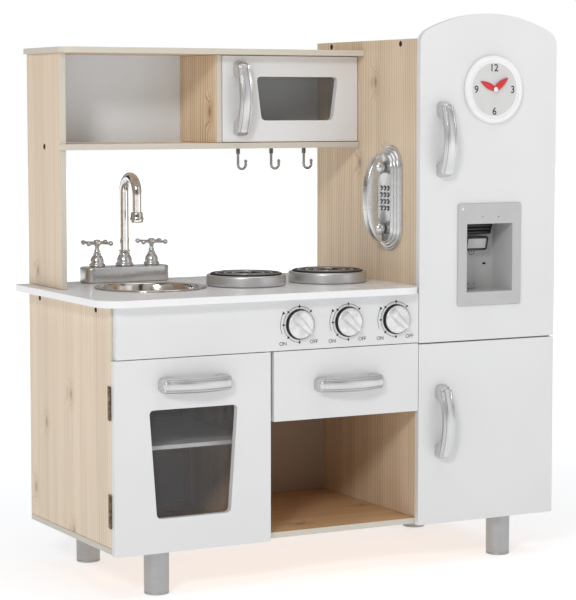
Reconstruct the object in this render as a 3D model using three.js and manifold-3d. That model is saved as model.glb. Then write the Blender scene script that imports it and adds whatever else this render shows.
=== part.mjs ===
// Child's wooden play kitchen: counter with sink and hob, oven, microwave, fridge and open shelf.
// Millimetres, +Z up. The fronts face -Y. The floor is Z = 0.
// Inside this file X = 0 is the outer face of the left side panel and Y = 0 is the front of the
// carcass; the finished group is moved so that its origin is at the middle of its footprint.

import * as THREE from 'three';
import { mergeVertices } from 'three/addons/utils/BufferGeometryUtils.js';
import Module from 'manifold-3d';

const wasm = await Module();
wasm.setup();

// ---------------------------------------------------------------- driving dimensions

const fitGap = 0.3;              // left between two pieces that rest on each other
const doorGap = 1.2;             // seen round every door and drawer front
const turnGap = 1.0;             // between a turning or sliding piece and what holds it

const carcassWidth = 850;
const carcassDepth = 352;
const legHeight = 76;
const legRadius = 21;
const legInsetX = 90;            // leg axis from the side of the carcass
const legInsetFront = 26;
const legInsetBack = 40;
const board = 10;                // thickness of carcass boards
const frontBoard = 12;           // thickness of doors, drawer front and control panel
const frontCorner = 1.5;         // rounding of their corners
const backBoard = 5;             // thickness of the back panels
const backInset = 24;            // back panels stand this far in from the rear edges

const counterTop = 490;
const counterThickness = 12;
const counterOverhangLeft = 27;
const counterOverhangFront = 36;
const counterCorner = 40;
const counterRearCorner = 8;
const controlPanelHeight = 85.5;
const controlPanelInset = 4;      // its left end in from the left edge of the oven door

const fridgeShare = 0.328;       // part of the whole width that the fridge takes
const fridgeRise = 421;          // top of the fridge side panels above the counter
const fridgeTopDrop = 3;         // top board below the ends of the side panels
const fridgeSplitDrop = 2.5;     // joint between the fridge doors, below the control panel
const fridgeDoorRise = 44;       // highest point of the arched door above the side panels
const fridgeArchRise = 37;       // arch height above its shoulders
const fridgeShoulder = 16;       // rounding of the shoulders
const fridgeDoorLap = 1.5;       // fridge doors reach past their left panel by this much

const ovenShare = 0.4964;        // part of the width left of the fridge that the oven takes
const frontDrop = 2;             // lower edge of the doors below the bottom board
const drawerFrontHeight = 117;
const drawerRearGap = 38;        // between the drawer box and the back panel
const drawerBoxHeight = 78;
const drawerSide = 8;
const drawerFloor = 4;
const nicheCeilingLap = 2;       // niche ceiling board above the drawer front's lower edge
const ovenShelfShare = 0.383;    // height of the oven shelf within the oven
const ovenShelfThickness = 7;
const ovenShelfSetback = 30;

const shelfDepth = 150;          // depth of the post and of the open shelf
const shelfTopDrop = 26.5;        // underside of the upper shelf board below the fridge sides
const shelfOpening = 151.5;       // clear height between the shelf boards
const shelfLip = 5;              // lower shelf board in front of the post
const shelfTopOverhang = 24;     // upper shelf board in front of the post
const shelfSideOverhang = 6;
const shelfCorner = 22;
const microwaveShare = 0.475;    // part of the width left of the fridge that it takes
const shelfBackBoard = 3;

const windowCorner = 9;
const paneThickness = 2;
const paneLap = 9;
const windowTaper = 13;          // each side leans in by this much from top to bottom
const microwaveWindowTaper = 10;
const ovenWindowSide = 61.5;     // door left beside the window at its top
const ovenWindowAbove = 83;
const ovenWindowBelow = 56;
const microwaveWindowLeft = 66.5;
const microwaveWindowRight = 40;
const microwaveWindowAbove = 36;
const microwaveWindowBelow = 37;

const handleMargin = 11.5;       // a handle ends this far from the ends of the shelf opening
const handleWidth = 25;
const handleReach = 32;          // how far a handle's bow stands out
const handleShoulder = 19;       // how far it stands out above its feet
const handleBar = 9;
const handleFoot = 23;
const ovenHandleDrop = 43;       // handle's middle below the top of the oven door
const drawerHandleDrop = 59;
const fridgeHandleInset = 45;    // handle's middle from the free edge of a fridge door
const upperHandleDrop = 216;     // handle's middle below the top of the arched door
const lowerHandleDrop = 137;
const microwaveHandleInset = 33;

const knobRadius = 24;
const knobDepth = 17;
const knobDiscDepth = 9;
const knobRounding = 4;
const knobSpacing = 93.5;
const knobLastInset = 45;        // last knob's axis from the right end of the control panel
const knobDrop = 43;             // knob axes below the underside of the counter
const knobGripWidth = 9;
const knobGripAngle = 135;       // where the grip points at OFF, clockwise from the top

const sinkShare = 0.3128;        // bowl radius as part of the clear width of the oven
const sinkRimWidth = 11;
const sinkRimHeight = 2.6;
const sinkShift = 5.7;           // sink axis to the right of the oven's middle
const sinkDepth = 55;
const sinkFloorShare = 0.62;     // radius of the bowl's floor as part of the bowl radius
const sinkBendShare = 0.72;      // depth where the wall turns in to the floor
const sinkTaper = 9;
const sinkWall = 1.5;
const sinkHoleClearance = 2;

const faucetLength = 160;
const faucetWidth = 45;
const faucetHeight = 27;
const faucetShift = 15;          // faucet to the right of the sink axis
const faucetInset = 36;          // faucet from the rear edge
const faucetGap = 24.5;          // counter left between the faucet and the sink rim
const tapSpacing = 104;
const bellHeight = 24;
const bellRadius = 16;
const bellNeck = 9;
const tubeRadius = 8.5;
const spoutShare = 0.824;        // top of the spout within the height under the shelf
const spoutReach = 54;
const spoutDrop = 34;            // straight outlet length below the bend
const nozzleHeight = 19;
const nozzleRadius = 12;
const tapStemHeight = 17;
const tapStemRadius = 5;
const tapArm = 28;
const tapArmRadius = 3;
const tapBall = 4.5;
const tapTurn = 36;

const burnerSinkGap = 2.5;       // widths of counter left beside and between the burners
const burnerGap = 23;
const burnerFridgeGap = 26.5;
const burnerHeight = 19;
const burnerRecess = 5;
const burnerLip = 7;
const burnerY = 143;
const coilMargin = 11.5;
const coilWire = 3.6;
const coilTurns = 3.4;
const coilEye = 14;

const hookFirstInset = 30.4;     // first hook from the microwave door's left edge
const hookSpacing = 65;
const hookInset = 6;             // hook axis behind the front edge of the shelf board
const hookDrop = 36;
const hookWire = 2.2;
const hookCollar = 4.2;
const hookCollarHeight = 9;
const hookBend = 7.5;
const hookRise = 14;

const clockRadius = 59;
const clockRim = 10.5;
const clockDepth = 9;
const clockRecess = 3;
const clockInset = 146.5;        // clock's middle from the free edge of the fridge door
const clockDrop = 130;           // clock's middle below the top of the arched door
const clockPinRadius = 2.5;
const handLength = 33;
const handWidth = 9;
const handThickness = 1.4;
const hourAngle = -65;           // clockwise from twelve
const minuteAngle = 52;

const dispenserWidth = 130;
const dispenserHeight = 177.5;
const dispenserLift = 61;        // flange above the joint of the fridge doors
const dispenserInset = 141.5;    // dispenser's middle from the free edge of the fridge door
const dispenserFlange = 3;
const dispenserCorner = 4;
const cavityWidth = 94;
const cavityHeight = 118;
const cavityDepth = 63;
const cavityLift = 24;           // cavity floor above the lower edge of the flange
const dispenserWall = 3;
const chuteWidth = 60;
const chuteHeight = 20;
const chuteDepth = 26;
const leverWidth = 46;
const leverLength = 26;
const leverBar = 4;
const leverTilt = 14;

const phoneWidth = 80;
const phoneHeight = 183;
const phoneDepth = 16;
const phoneSteps = 4;
const phoneStepInset = 4.5;
const phoneY = 86;
const phoneLift = 147;           // telephone's middle above the counter
const handsetLength = 152;
const handsetReach = 54;         // outside of the grip from the fridge panel
const handsetBall = 12;
const handsetBallSpacing = 106;
const handsetWidth = 18;
const handsetThickness = 15;

const hingeHeight = 55;
const hingeBarrel = 2.2;
const hingeLeaf = 12;
const hingeLeafThickness = 1;
const upperHingeDrop = 69;       // hinge's middle below the top of the oven door
const lowerHingeLift = 73;       // hinge's middle above the bottom of the oven door

// ---------------------------------------------------------------- places worked out from them

const bottomTop = legHeight + board;
const frontBottom = legHeight - frontDrop;
const counterUnder = counterTop - counterThickness;
const panelBottom = counterUnder - controlPanelHeight;
const lowerFrontTop = panelBottom - doorGap;
const fridgeSideHeight = counterTop + fridgeRise;
const fridgeDoorTop = fridgeSideHeight + fridgeDoorRise;
const fridgeSplit = panelBottom - fridgeSplitDrop;
const fridgeLeft = carcassWidth * (1 - fridgeShare);
const fridgeInnerLeft = fridgeLeft + board;
const fridgeInnerRight = carcassWidth - board;
const fridgeDoorLeft = fridgeLeft - fridgeDoorLap;
const backFront = carcassDepth - backInset - backBoard;
const ovenBayWidth = fridgeLeft * ovenShare;
const dividerLeft = ovenBayWidth - board / 2;
const dividerRight = ovenBayWidth + board / 2;
const ovenShelfHeight = bottomTop + (counterUnder - bottomTop) * ovenShelfShare;
const drawerFrontBottom = lowerFrontTop - drawerFrontHeight;
const nicheCeilingTop = drawerFrontBottom + nicheCeilingLap + board;
const drawerDepth = backFront - drawerRearGap;
const postFront = carcassDepth - shelfDepth;
const shelfTopUnder = fridgeSideHeight - shelfTopDrop;
const shelfBottom = shelfTopUnder - shelfOpening - board;
const shelfRight = fridgeLeft - fitGap;
const shelfDividerLeft = fridgeLeft * (1 - microwaveShare) - board;
const microwaveLeft = shelfDividerLeft + board + doorGap;
const microwaveRight = fridgeLeft - doorGap;
const handleLength = shelfOpening - 2 * handleMargin;
const sinkBowlRadius = (dividerLeft - board) * sinkShare;
const sinkRimRadius = sinkBowlRadius + sinkRimWidth;
const sinkX = (dividerLeft + board) / 2 + sinkShift;
const faucetX = sinkX + faucetShift;
const faucetY = carcassDepth - faucetInset;
const faucetTop = counterTop + fitGap + faucetHeight;
const sinkY = faucetY - faucetWidth / 2 - faucetGap - sinkRimRadius;
const hobLeft = sinkX + sinkRimRadius + burnerSinkGap;
const burnerRadius = (fridgeLeft - burnerFridgeGap - hobLeft - burnerGap) / 4;
const clockFaceRadius = clockRadius - clockRim;
const doorFace = -frontBoard;

// ---------------------------------------------------------------- colours and finishes

const finishes = {
  pineSide: { color: 0xdccbb4, roughness: 0.55, metalness: 0 },
  pineInside: { color: 0xcdaa82, roughness: 0.6, metalness: 0 },
  edgeBand: { color: 0xcdc6b4, roughness: 0.6, metalness: 0 },
  whiteFront: { color: 0xe4e4e4, roughness: 0.45, metalness: 0 },
  greyWhite: { color: 0xc9c9cb, roughness: 0.6, metalness: 0 },
  silverPaint: { color: 0xc4c5c7, roughness: 0.3, metalness: 0.6 },
  chromePlate: { color: 0xd8d8d8, roughness: 0.08, metalness: 1 },
  steelBowl: { color: 0xb9ada2, roughness: 0.18, metalness: 1 },
  blackPlastic: { color: 0x181818, roughness: 0.5, metalness: 0 },
  greyPlastic: { color: 0xbdbdbd, roughness: 0.5, metalness: 0 },
  pearlPlastic: { color: 0xdadad8, roughness: 0.3, metalness: 0.2 },
  redPlastic: { color: 0xcf2530, roughness: 0.45, metalness: 0 },
  clearPane: { color: 0xb8bcbf, roughness: 0.1, metalness: 0, transparent: true, opacity: 0.35 },
  bronzeHinge: { color: 0x5a4632, roughness: 0.4, metalness: 0.8 },
};

const kitchen = new THREE.Group();

function addPart(name, geometry, finish, parent = kitchen) {
  const mesh = new THREE.Mesh(geometry, new THREE.MeshStandardMaterial(finishes[finish]));
  mesh.name = name;
  parent.add(mesh);
  return mesh;
}

// ---------------------------------------------------------------- solid helpers

function toSolid(geometry) {
  const bare = geometry.clone();
  bare.deleteAttribute('normal');
  bare.deleteAttribute('uv');
  const merged = mergeVertices(bare, 1e-4);
  return new wasm.Manifold(new wasm.Mesh({
    numProp: 3,
    vertProperties: new Float32Array(merged.attributes.position.array),
    triVerts: new Uint32Array(merged.index.array),
  }));
}

function toGeometry(solid) {
  const mesh = solid.getMesh();
  const geometry = new THREE.BufferGeometry();
  geometry.setAttribute('position', new THREE.BufferAttribute(mesh.vertProperties, 3));
  geometry.setIndex(new THREE.BufferAttribute(mesh.triVerts, 1));
  geometry.computeVertexNormals();
  return geometry;
}

function join(first, ...others) {
  return toGeometry(others.reduce((sum, next) => sum.add(toSolid(next)), toSolid(first)));
}

function cut(first, ...others) {
  return toGeometry(others.reduce((rest, next) => rest.subtract(toSolid(next)), toSolid(first)));
}

// A box between two opposite corners.
function slab(x0, x1, y0, y1, z0, z1) {
  const box = new THREE.BoxGeometry(x1 - x0, y1 - y0, z1 - z0);
  return box.translate((x0 + x1) / 2, (y0 + y1) / 2, (z0 + z1) / 2);
}

// An outline in X and Y, raised from z0 to z1.
function raise(shape, z0, z1, curveSegments = 10) {
  const options = { depth: z1 - z0, bevelEnabled: false, curveSegments };
  return new THREE.ExtrudeGeometry(shape, options).translate(0, 0, z0);
}

// An outline in X and Z, given depth from y0 (front) to y1 (back).
function deepen(shape, y0, y1, curveSegments = 10) {
  const options = { depth: y1 - y0, bevelEnabled: false, curveSegments };
  return new THREE.ExtrudeGeometry(shape, options).rotateX(Math.PI / 2).translate(0, y1, 0);
}

// A profile of [radius, height] pairs, turned about Z.
function turned(profile, segments = 32) {
  const points = profile.map(([radius, height]) => new THREE.Vector2(radius, height));
  return new THREE.LatheGeometry(points, segments).rotateX(Math.PI / 2);
}

// A turned profile whose heights run out of a front, towards -Y.
function turnedOut(profile, segments = 32) {
  return turned(profile, segments).rotateX(Math.PI / 2);
}

function rod(radius, length, segments = 16) {
  return new THREE.CylinderGeometry(radius, radius, length, segments);
}

// A round tube along a curve, with closed ends.
function tube(curve, radius, steps, sides = 10) {
  const ring = new THREE.Shape();
  for (let side = 0; side < sides; side += 1) {
    const angle = side / sides * 2 * Math.PI;
    const point = [radius * Math.cos(angle), radius * Math.sin(angle)];
    if (side === 0) ring.moveTo(...point);
    else ring.lineTo(...point);
  }
  ring.closePath();
  return new THREE.ExtrudeGeometry(ring, { steps, extrudePath: curve, curveSegments: 1 });
}

// A closed outline through corner points, each corner rounded by the same radius.
function roundedOutline(corners, radius) {
  const shape = new THREE.Shape();
  const points = corners.map(([x, y]) => new THREE.Vector2(x, y));
  points.forEach((corner, index) => {
    const before = points[(index + points.length - 1) % points.length];
    const after = points[(index + 1) % points.length];
    const start = corner.clone().add(before.clone().sub(corner).setLength(radius));
    const end = corner.clone().add(after.clone().sub(corner).setLength(radius));
    if (index === 0) shape.moveTo(start.x, start.y);
    else shape.lineTo(start.x, start.y);
    shape.quadraticCurveTo(corner.x, corner.y, end.x, end.y);
  });
  shape.closePath();
  return shape;
}

function rectangle(x0, x1, y0, y1) {
  return [[x0, y0], [x1, y0], [x1, y1], [x0, y1]];
}

// A window opening: an upright trapezoid, wider at the top.
function trapezoid(middle, bottom, bottomWidth, topWidth, height, grow = 0) {
  return [
    [middle - bottomWidth / 2 - grow, bottom - grow],
    [middle + bottomWidth / 2 + grow, bottom - grow],
    [middle + topWidth / 2 + grow, bottom + height + grow],
    [middle - topWidth / 2 - grow, bottom + height + grow],
  ];
}

// A straight slot with round ends, along X.
function stadium(length, width) {
  const straight = (length - width) / 2;
  const shape = new THREE.Shape();
  shape.absarc(straight, 0, width / 2, -Math.PI / 2, Math.PI / 2, false);
  shape.absarc(-straight, 0, width / 2, Math.PI / 2, 3 * Math.PI / 2, false);
  shape.closePath();
  return shape;
}

// ---------------------------------------------------------------- carcass

function addLegs() {
  const columns = { left: legInsetX, right: carcassWidth - legInsetX };
  const rows = { front: legInsetFront, back: carcassDepth - legInsetBack };
  for (const [row, y] of Object.entries(rows)) {
    for (const [column, x] of Object.entries(columns)) {
      const height = legHeight - fitGap;
      const foot = 2;
      const profile = [
        [0, 0], [legRadius - foot, 0], [legRadius, foot], [legRadius, height], [0, height],
      ];
      addPart(`leg_${row}_${column}`, turned(profile, 24), 'silverPaint').position.set(x, y, 0);
    }
  }
}

function addCarcass() {
  const sideBottom = bottomTop + fitGap;
  const sideTop = counterUnder - fitGap;
  addPart('bottom_board', slab(0, carcassWidth, 0, carcassDepth, legHeight, bottomTop), 'pineInside');
  addPart('left_side_panel', slab(0, board, 0, carcassDepth, sideBottom, sideTop), 'pineSide');
  addPart(
    'oven_divider_panel',
    slab(dividerLeft, dividerRight, 0, backFront - fitGap, sideBottom, sideTop),
    'pineInside',
  );
  addPart(
    'lower_back_panel',
    slab(board + fitGap, fridgeLeft - fitGap, backFront, backFront + backBoard, sideBottom, sideTop),
    'pineInside',
  );
  const shelfTop = ovenShelfHeight + ovenShelfThickness;
  addPart(
    'oven_shelf',
    slab(
      board + fitGap, dividerLeft - fitGap, ovenShelfSetback, backFront - fitGap,
      ovenShelfHeight, shelfTop,
    ),
    'whiteFront',
  );
  addPart(
    'niche_ceiling_board',
    slab(
      dividerRight + fitGap, fridgeLeft - fitGap, fitGap, backFront - fitGap,
      nicheCeilingTop - board, nicheCeilingTop,
    ),
    'pineInside',
  );
  addPart(
    'control_panel',
    slab(
      controlPanelInset, fridgeDoorLeft - doorGap, doorFace, -fitGap,
      panelBottom, counterUnder - fitGap,
    ),
    'whiteFront',
  );
}

function addFridgeBox() {
  const sideBottom = bottomTop + fitGap;
  const topBoardTop = fridgeSideHeight - fridgeTopDrop;
  addPart(
    'fridge_left_panel',
    slab(fridgeLeft, fridgeInnerLeft, 0, carcassDepth, sideBottom, fridgeSideHeight),
    'pineSide',
  );
  addPart(
    'fridge_right_panel',
    slab(fridgeInnerRight, carcassWidth, 0, carcassDepth, sideBottom, fridgeSideHeight),
    'pineSide',
  );
  const left = fridgeInnerLeft + fitGap;
  const right = fridgeInnerRight - fitGap;
  addPart(
    'fridge_top_board',
    slab(left, right, 0, carcassDepth, topBoardTop - board, topBoardTop),
    'pineInside',
  );
  addPart(
    'fridge_shelf',
    slab(left, right, 0, backFront - fitGap, fridgeSplit - board / 2, fridgeSplit + board / 2),
    'pineInside',
  );
  addPart(
    'fridge_back_panel',
    slab(left, right, backFront, backFront + backBoard, sideBottom, topBoardTop - board - fitGap),
    'greyWhite',
  );
}

function addCountertop() {
  const left = -counterOverhangLeft;
  const right = fridgeLeft - fitGap;
  const nose = fridgeDoorLeft - turnGap;
  const front = -counterOverhangFront;
  const back = carcassDepth;
  const rear = counterRearCorner;
  const quarter = Math.PI / 2;
  const shape = new THREE.Shape();
  shape.moveTo(left + counterCorner, front);
  shape.absarc(nose - counterCorner, front + counterCorner, counterCorner, -quarter, 0, false);
  shape.lineTo(right, front + counterCorner);
  shape.lineTo(right, back);
  shape.lineTo(left + rear, back);
  shape.absarc(left + rear, back - rear, rear, quarter, 2 * quarter, false);
  shape.absarc(left + counterCorner, front + counterCorner, counterCorner, 2 * quarter, 3 * quarter, false);
  shape.closePath();
  const hole = new THREE.Path();
  hole.absarc(sinkX, sinkY, sinkBowlRadius + sinkHoleClearance, 0, 2 * Math.PI, true);
  shape.holes.push(hole);
  addPart('countertop', raise(shape, counterUnder, counterTop, 12), 'whiteFront');
}

// ---------------------------------------------------------------- open shelf

function addShelf() {
  addPart(
    'shelf_post',
    slab(0, board, postFront, carcassDepth, counterTop + fitGap, shelfTopUnder - fitGap),
    'pineSide',
  );
  const left = -shelfSideOverhang;
  const topFront = postFront - shelfTopOverhang;
  const topShape = new THREE.Shape();
  topShape.moveTo(left + shelfCorner, topFront);
  topShape.lineTo(shelfRight, topFront);
  topShape.lineTo(shelfRight, carcassDepth);
  topShape.lineTo(left, carcassDepth);
  topShape.absarc(left + shelfCorner, topFront + shelfCorner, shelfCorner, Math.PI, 1.5 * Math.PI, false);
  topShape.closePath();
  addPart('shelf_top_board', raise(topShape, shelfTopUnder, shelfTopUnder + board), 'pineSide');

  const lipFront = postFront - shelfLip;
  const lipBack = postFront - fitGap;
  const inner = board + fitGap;
  const lowShape = new THREE.Shape();
  lowShape.moveTo(left + shelfLip / 2, lipFront);
  lowShape.lineTo(shelfRight, lipFront);
  lowShape.lineTo(shelfRight, carcassDepth);
  lowShape.lineTo(inner, carcassDepth);
  lowShape.lineTo(inner, lipBack);
  lowShape.lineTo(left + shelfLip / 2, lipBack);
  lowShape.quadraticCurveTo(left, lipBack, left, (lipFront + lipBack) / 2);
  lowShape.quadraticCurveTo(left, lipFront, left + shelfLip / 2, lipFront);
  lowShape.closePath();
  addPart('shelf_bottom_board', raise(lowShape, shelfBottom, shelfBottom + board), 'pineSide');

  const innerBottom = shelfBottom + board + fitGap;
  const innerTop = shelfTopUnder - fitGap;
  const backBoardFront = carcassDepth - shelfBackBoard;
  addPart(
    'shelf_divider',
    slab(
      shelfDividerLeft, shelfDividerLeft + board, postFront, backBoardFront - fitGap,
      innerBottom, innerTop,
    ),
    'pineSide',
  );
  addPart(
    'shelf_back_panel',
    slab(inner, shelfRight, backBoardFront, carcassDepth, innerBottom, innerTop),
    'greyWhite',
  );
}

function hookGeometry() {
  const shank = hookDrop - hookBend;
  const length = { shank, bend: Math.PI * hookBend, rise: hookRise - hookBend };
  const total = length.shank + length.bend + length.rise;
  // Down the shank, half a turn round the bend and up the tip.
  class HookLine extends THREE.Curve {
    getPoint(t, target = new THREE.Vector3()) {
      const along = t * total;
      if (along <= length.shank) return target.set(0, 0, -along);
      if (along <= length.shank + length.bend) {
        const angle = (along - length.shank) / hookBend;
        const x = hookBend - hookBend * Math.cos(angle);
        return target.set(x, 0, -length.shank - hookBend * Math.sin(angle));
      }
      const up = along - length.shank - length.bend;
      return target.set(2 * hookBend, 0, -length.shank + up);
    }
  }
  const collar = turned([
    [0, -hookCollarHeight], [hookCollar - 1, -hookCollarHeight], [hookCollar, -hookCollarHeight + 1],
    [hookCollar, 0], [0, 0],
  ], 12);
  const tip = new THREE.SphereGeometry(hookWire * 1.35, 8, 6);
  tip.translate(2 * hookBend, 0, -length.shank + length.rise);
  return join(tube(new HookLine(), hookWire, 18, 6), collar, tip);
}

function addHooks() {
  for (let index = 0; index < 3; index += 1) {
    const hook = addPart(`hook_${index + 1}`, hookGeometry(), 'silverPaint');
    const y = postFront - shelfLip + hookInset;
    hook.position.set(microwaveLeft + hookFirstInset + index * hookSpacing, y, shelfBottom - fitGap);
  }
}

// ---------------------------------------------------------------- doors and drawer

function addOvenDoor() {
  const left = 0;
  const right = ovenBayWidth - doorGap;
  const middle = (left + right) / 2;
  const topWidth = right - left - 2 * ovenWindowSide;
  const windowBottom = frontBottom + ovenWindowBelow;
  const height = lowerFrontTop - ovenWindowAbove - windowBottom;
  const opening = [middle, windowBottom, topWidth - 2 * windowTaper, topWidth, height];
  const shape = roundedOutline(rectangle(left, right, frontBottom, lowerFrontTop), frontCorner);
  shape.holes.push(roundedOutline(trapezoid(...opening).reverse(), windowCorner));
  addPart('oven_door', deepen(shape, doorFace, -fitGap, 6), 'whiteFront');
  const pane = roundedOutline(trapezoid(...opening, paneLap), windowCorner);
  addPart('oven_window', deepen(pane, 0, paneThickness, 4), 'clearPane');
}

function addMicrowaveDoor() {
  const bottom = shelfBottom + board + doorGap;
  const top = shelfTopUnder - doorGap;
  const topWidth = microwaveRight - microwaveLeft - microwaveWindowLeft - microwaveWindowRight;
  const middle = microwaveLeft + microwaveWindowLeft + topWidth / 2;
  const windowBottom = bottom + microwaveWindowBelow;
  const height = top - microwaveWindowAbove - windowBottom;
  const opening = [middle, windowBottom, topWidth - 2 * microwaveWindowTaper, topWidth, height];
  const shape = roundedOutline(rectangle(microwaveLeft, microwaveRight, bottom, top), frontCorner);
  shape.holes.push(roundedOutline(trapezoid(...opening).reverse(), windowCorner));
  const back = postFront + frontBoard;
  addPart('microwave_door', deepen(shape, postFront, back, 6), 'whiteFront');
  const pane = roundedOutline(trapezoid(...opening, paneLap), windowCorner);
  addPart('microwave_window', deepen(pane, back + fitGap, back + fitGap + paneThickness, 4), 'clearPane');
}

function archedOutline(left, right, bottom, top) {
  const half = (right - left) / 2;
  const middle = (left + right) / 2;
  const radius = (half ** 2 + fridgeArchRise ** 2) / (2 * fridgeArchRise);
  const centre = top - radius;
  const reach = half - fridgeShoulder;
  const angle = Math.acos(reach / radius);
  const shoulder = top - fridgeArchRise;
  const archEnd = centre + Math.sqrt(radius ** 2 - reach ** 2);
  const shape = new THREE.Shape();
  shape.moveTo(left, bottom);
  shape.lineTo(right, bottom);
  shape.lineTo(right, shoulder - fridgeShoulder);
  shape.quadraticCurveTo(right, shoulder, middle + reach, archEnd);
  shape.absarc(middle, centre, radius, angle, Math.PI - angle, false);
  shape.quadraticCurveTo(left, shoulder, left, shoulder - fridgeShoulder);
  shape.closePath();
  return shape;
}

function addFridgeDoors() {
  const upperBottom = fridgeSplit + doorGap;
  const shape = archedOutline(fridgeDoorLeft, carcassWidth, upperBottom, fridgeDoorTop);
  const tub = cavityWidth / 2 + dispenserWall + turnGap;
  const cavityLow = fridgeSplit + dispenserLift + cavityLift;
  const low = cavityLow - dispenserWall - turnGap;
  const high = cavityLow + cavityHeight + dispenserWall + turnGap;
  const middle = fridgeDoorLeft + dispenserInset;
  const hole = rectangle(middle - tub, middle + tub, low, high).reverse();
  shape.holes.push(roundedOutline(hole, 2));
  addPart('fridge_upper_door', deepen(shape, doorFace, -fitGap, 16), 'whiteFront');
  const lower = rectangle(fridgeDoorLeft, carcassWidth, frontBottom, fridgeSplit - doorGap);
  addPart('fridge_lower_door', deepen(roundedOutline(lower, frontCorner), doorFace, -fitGap, 3), 'whiteFront');
}

function addDrawer() {
  const left = dividerRight;
  const right = fridgeDoorLeft - doorGap;
  const front = rectangle(left, right, drawerFrontBottom, lowerFrontTop);
  addPart('drawer_front', deepen(roundedOutline(front, frontCorner), doorFace, -fitGap, 3), 'whiteFront');
  const boxLeft = dividerRight + 2 * turnGap;
  const boxRight = fridgeLeft - 2 * turnGap;
  const boxBottom = nicheCeilingTop + turnGap / 2;
  const boxTop = boxBottom + drawerBoxHeight;
  const tray = cut(
    slab(boxLeft, boxRight, 0, drawerDepth, boxBottom, boxTop),
    slab(
      boxLeft + drawerSide, boxRight - drawerSide, drawerSide, drawerDepth - drawerSide,
      boxBottom + drawerFloor, boxTop + drawerSide,
    ),
  );
  addPart('drawer_box', tray, 'pineInside');
}

// ---------------------------------------------------------------- handles

// A bow handle: two feet on the front, a thin curved bar between them. Its length runs along X,
// its width along Z and it stands out towards -Y.
function handleGeometry() {
  const half = handleLength / 2;
  const inner = half - handleFoot;
  const shape = new THREE.Shape();
  const soft = 10;
  shape.moveTo(-half, 0);
  shape.lineTo(-half, -(handleShoulder - soft));
  shape.quadraticCurveTo(-half, -handleShoulder, -half + soft, -handleShoulder - 2);
  shape.quadraticCurveTo(0, -2 * handleReach + handleShoulder + 2, half - soft, -handleShoulder - 2);
  shape.quadraticCurveTo(half, -handleShoulder, half, -(handleShoulder - soft));
  shape.lineTo(half, 0);
  shape.lineTo(inner, 0);
  shape.lineTo(inner, -(handleShoulder - handleBar));
  const innerPull = -2 * (handleReach - handleBar) + handleShoulder - handleBar;
  shape.quadraticCurveTo(0, innerPull, -inner, -(handleShoulder - handleBar));
  shape.lineTo(-inner, 0);
  shape.closePath();
  return raise(shape, -handleWidth / 2, handleWidth / 2, 8);
}

function addHandle(name, x, y, z, upright) {
  const handle = addPart(name, handleGeometry(), 'silverPaint');
  if (upright) handle.rotation.y = Math.PI / 2;
  handle.position.set(x, y - fitGap, z);
}

function addHandles() {
  const drawerMiddle = (dividerRight + fridgeDoorLeft - doorGap) / 2;
  const shelfMiddle = shelfBottom + board + shelfOpening / 2;
  const fridgeHandleX = fridgeDoorLeft + fridgeHandleInset;
  const lowerHandleHeight = fridgeSplit - lowerHandleDrop;
  const upperHandleHeight = fridgeDoorTop - upperHandleDrop;
  const microwaveHandleX = microwaveLeft + microwaveHandleInset;
  addHandle('oven_handle', (ovenBayWidth - doorGap) / 2, doorFace, lowerFrontTop - ovenHandleDrop, false);
  addHandle('drawer_handle', drawerMiddle, doorFace, lowerFrontTop - drawerHandleDrop, false);
  addHandle('fridge_upper_handle', fridgeHandleX, doorFace, upperHandleHeight, true);
  addHandle('fridge_lower_handle', fridgeHandleX, doorFace, lowerHandleHeight, true);
  addHandle('microwave_handle', microwaveHandleX, postFront, shelfMiddle, true);
}

// ---------------------------------------------------------------- knobs

function knobGeometry() {
  const disc = turnedOut([
    [0, 0], [knobRadius, 0], [knobRadius, knobDiscDepth - knobRounding],
    [knobRadius - knobRounding / 2, knobDiscDepth - 1], [knobRadius - 1.5 * knobRounding, knobDiscDepth],
    [0, knobDiscDepth],
  ], 24);
  const gripLength = 2 * knobRadius - knobRounding;
  const outline = stadium(gripLength, knobGripWidth);
  const grip = deepen(outline, -knobDepth, -knobDiscDepth / 2, 6);
  grip.rotateY(THREE.MathUtils.degToRad(knobGripAngle - 90));
  return join(disc, grip);
}

function addKnobs() {
  const names = ['knob_left', 'knob_middle', 'knob_right'];
  const last = fridgeDoorLeft - doorGap - knobLastInset;
  names.forEach((name, index) => {
    const x = last - (names.length - 1 - index) * knobSpacing;
    const knob = addPart(name, knobGeometry(), 'pearlPlastic');
    knob.position.set(x, doorFace - turnGap / 2, counterUnder - knobDrop);
  });
}

// ---------------------------------------------------------------- sink and tap

function addSink() {
  const rimLow = fitGap;
  const rimHigh = fitGap + sinkRimHeight;
  const floorRadius = sinkBowlRadius * sinkFloorShare;
  const wallLow = -sinkDepth * sinkBendShare;
  const outer = [
    [0, -sinkDepth], [floorRadius, -sinkDepth], [sinkBowlRadius - sinkTaper, wallLow],
    [sinkBowlRadius, rimLow], [sinkRimRadius, rimLow],
  ];
  const inner = [
    [sinkRimRadius, rimHigh / 2], [sinkRimRadius - rimHigh, rimHigh],
    [sinkBowlRadius - sinkWall, rimHigh - fitGap],
    [sinkBowlRadius - sinkTaper - sinkWall, wallLow], [floorRadius, -sinkDepth + sinkWall],
    [0, -sinkDepth + sinkWall],
  ];
  addPart('sink_bowl', turned([...outer, ...inner], 36), 'steelBowl').position.set(sinkX, sinkY, counterTop);
}

function bellProfile(radius, neck, height) {
  return [
    [0, 0], [radius, 0], [radius, height * 0.18], [radius * 0.86, height * 0.3],
    [radius * 0.8, height * 0.55], [neck * 1.15, height * 0.85], [neck, height], [0, height],
  ];
}

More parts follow.
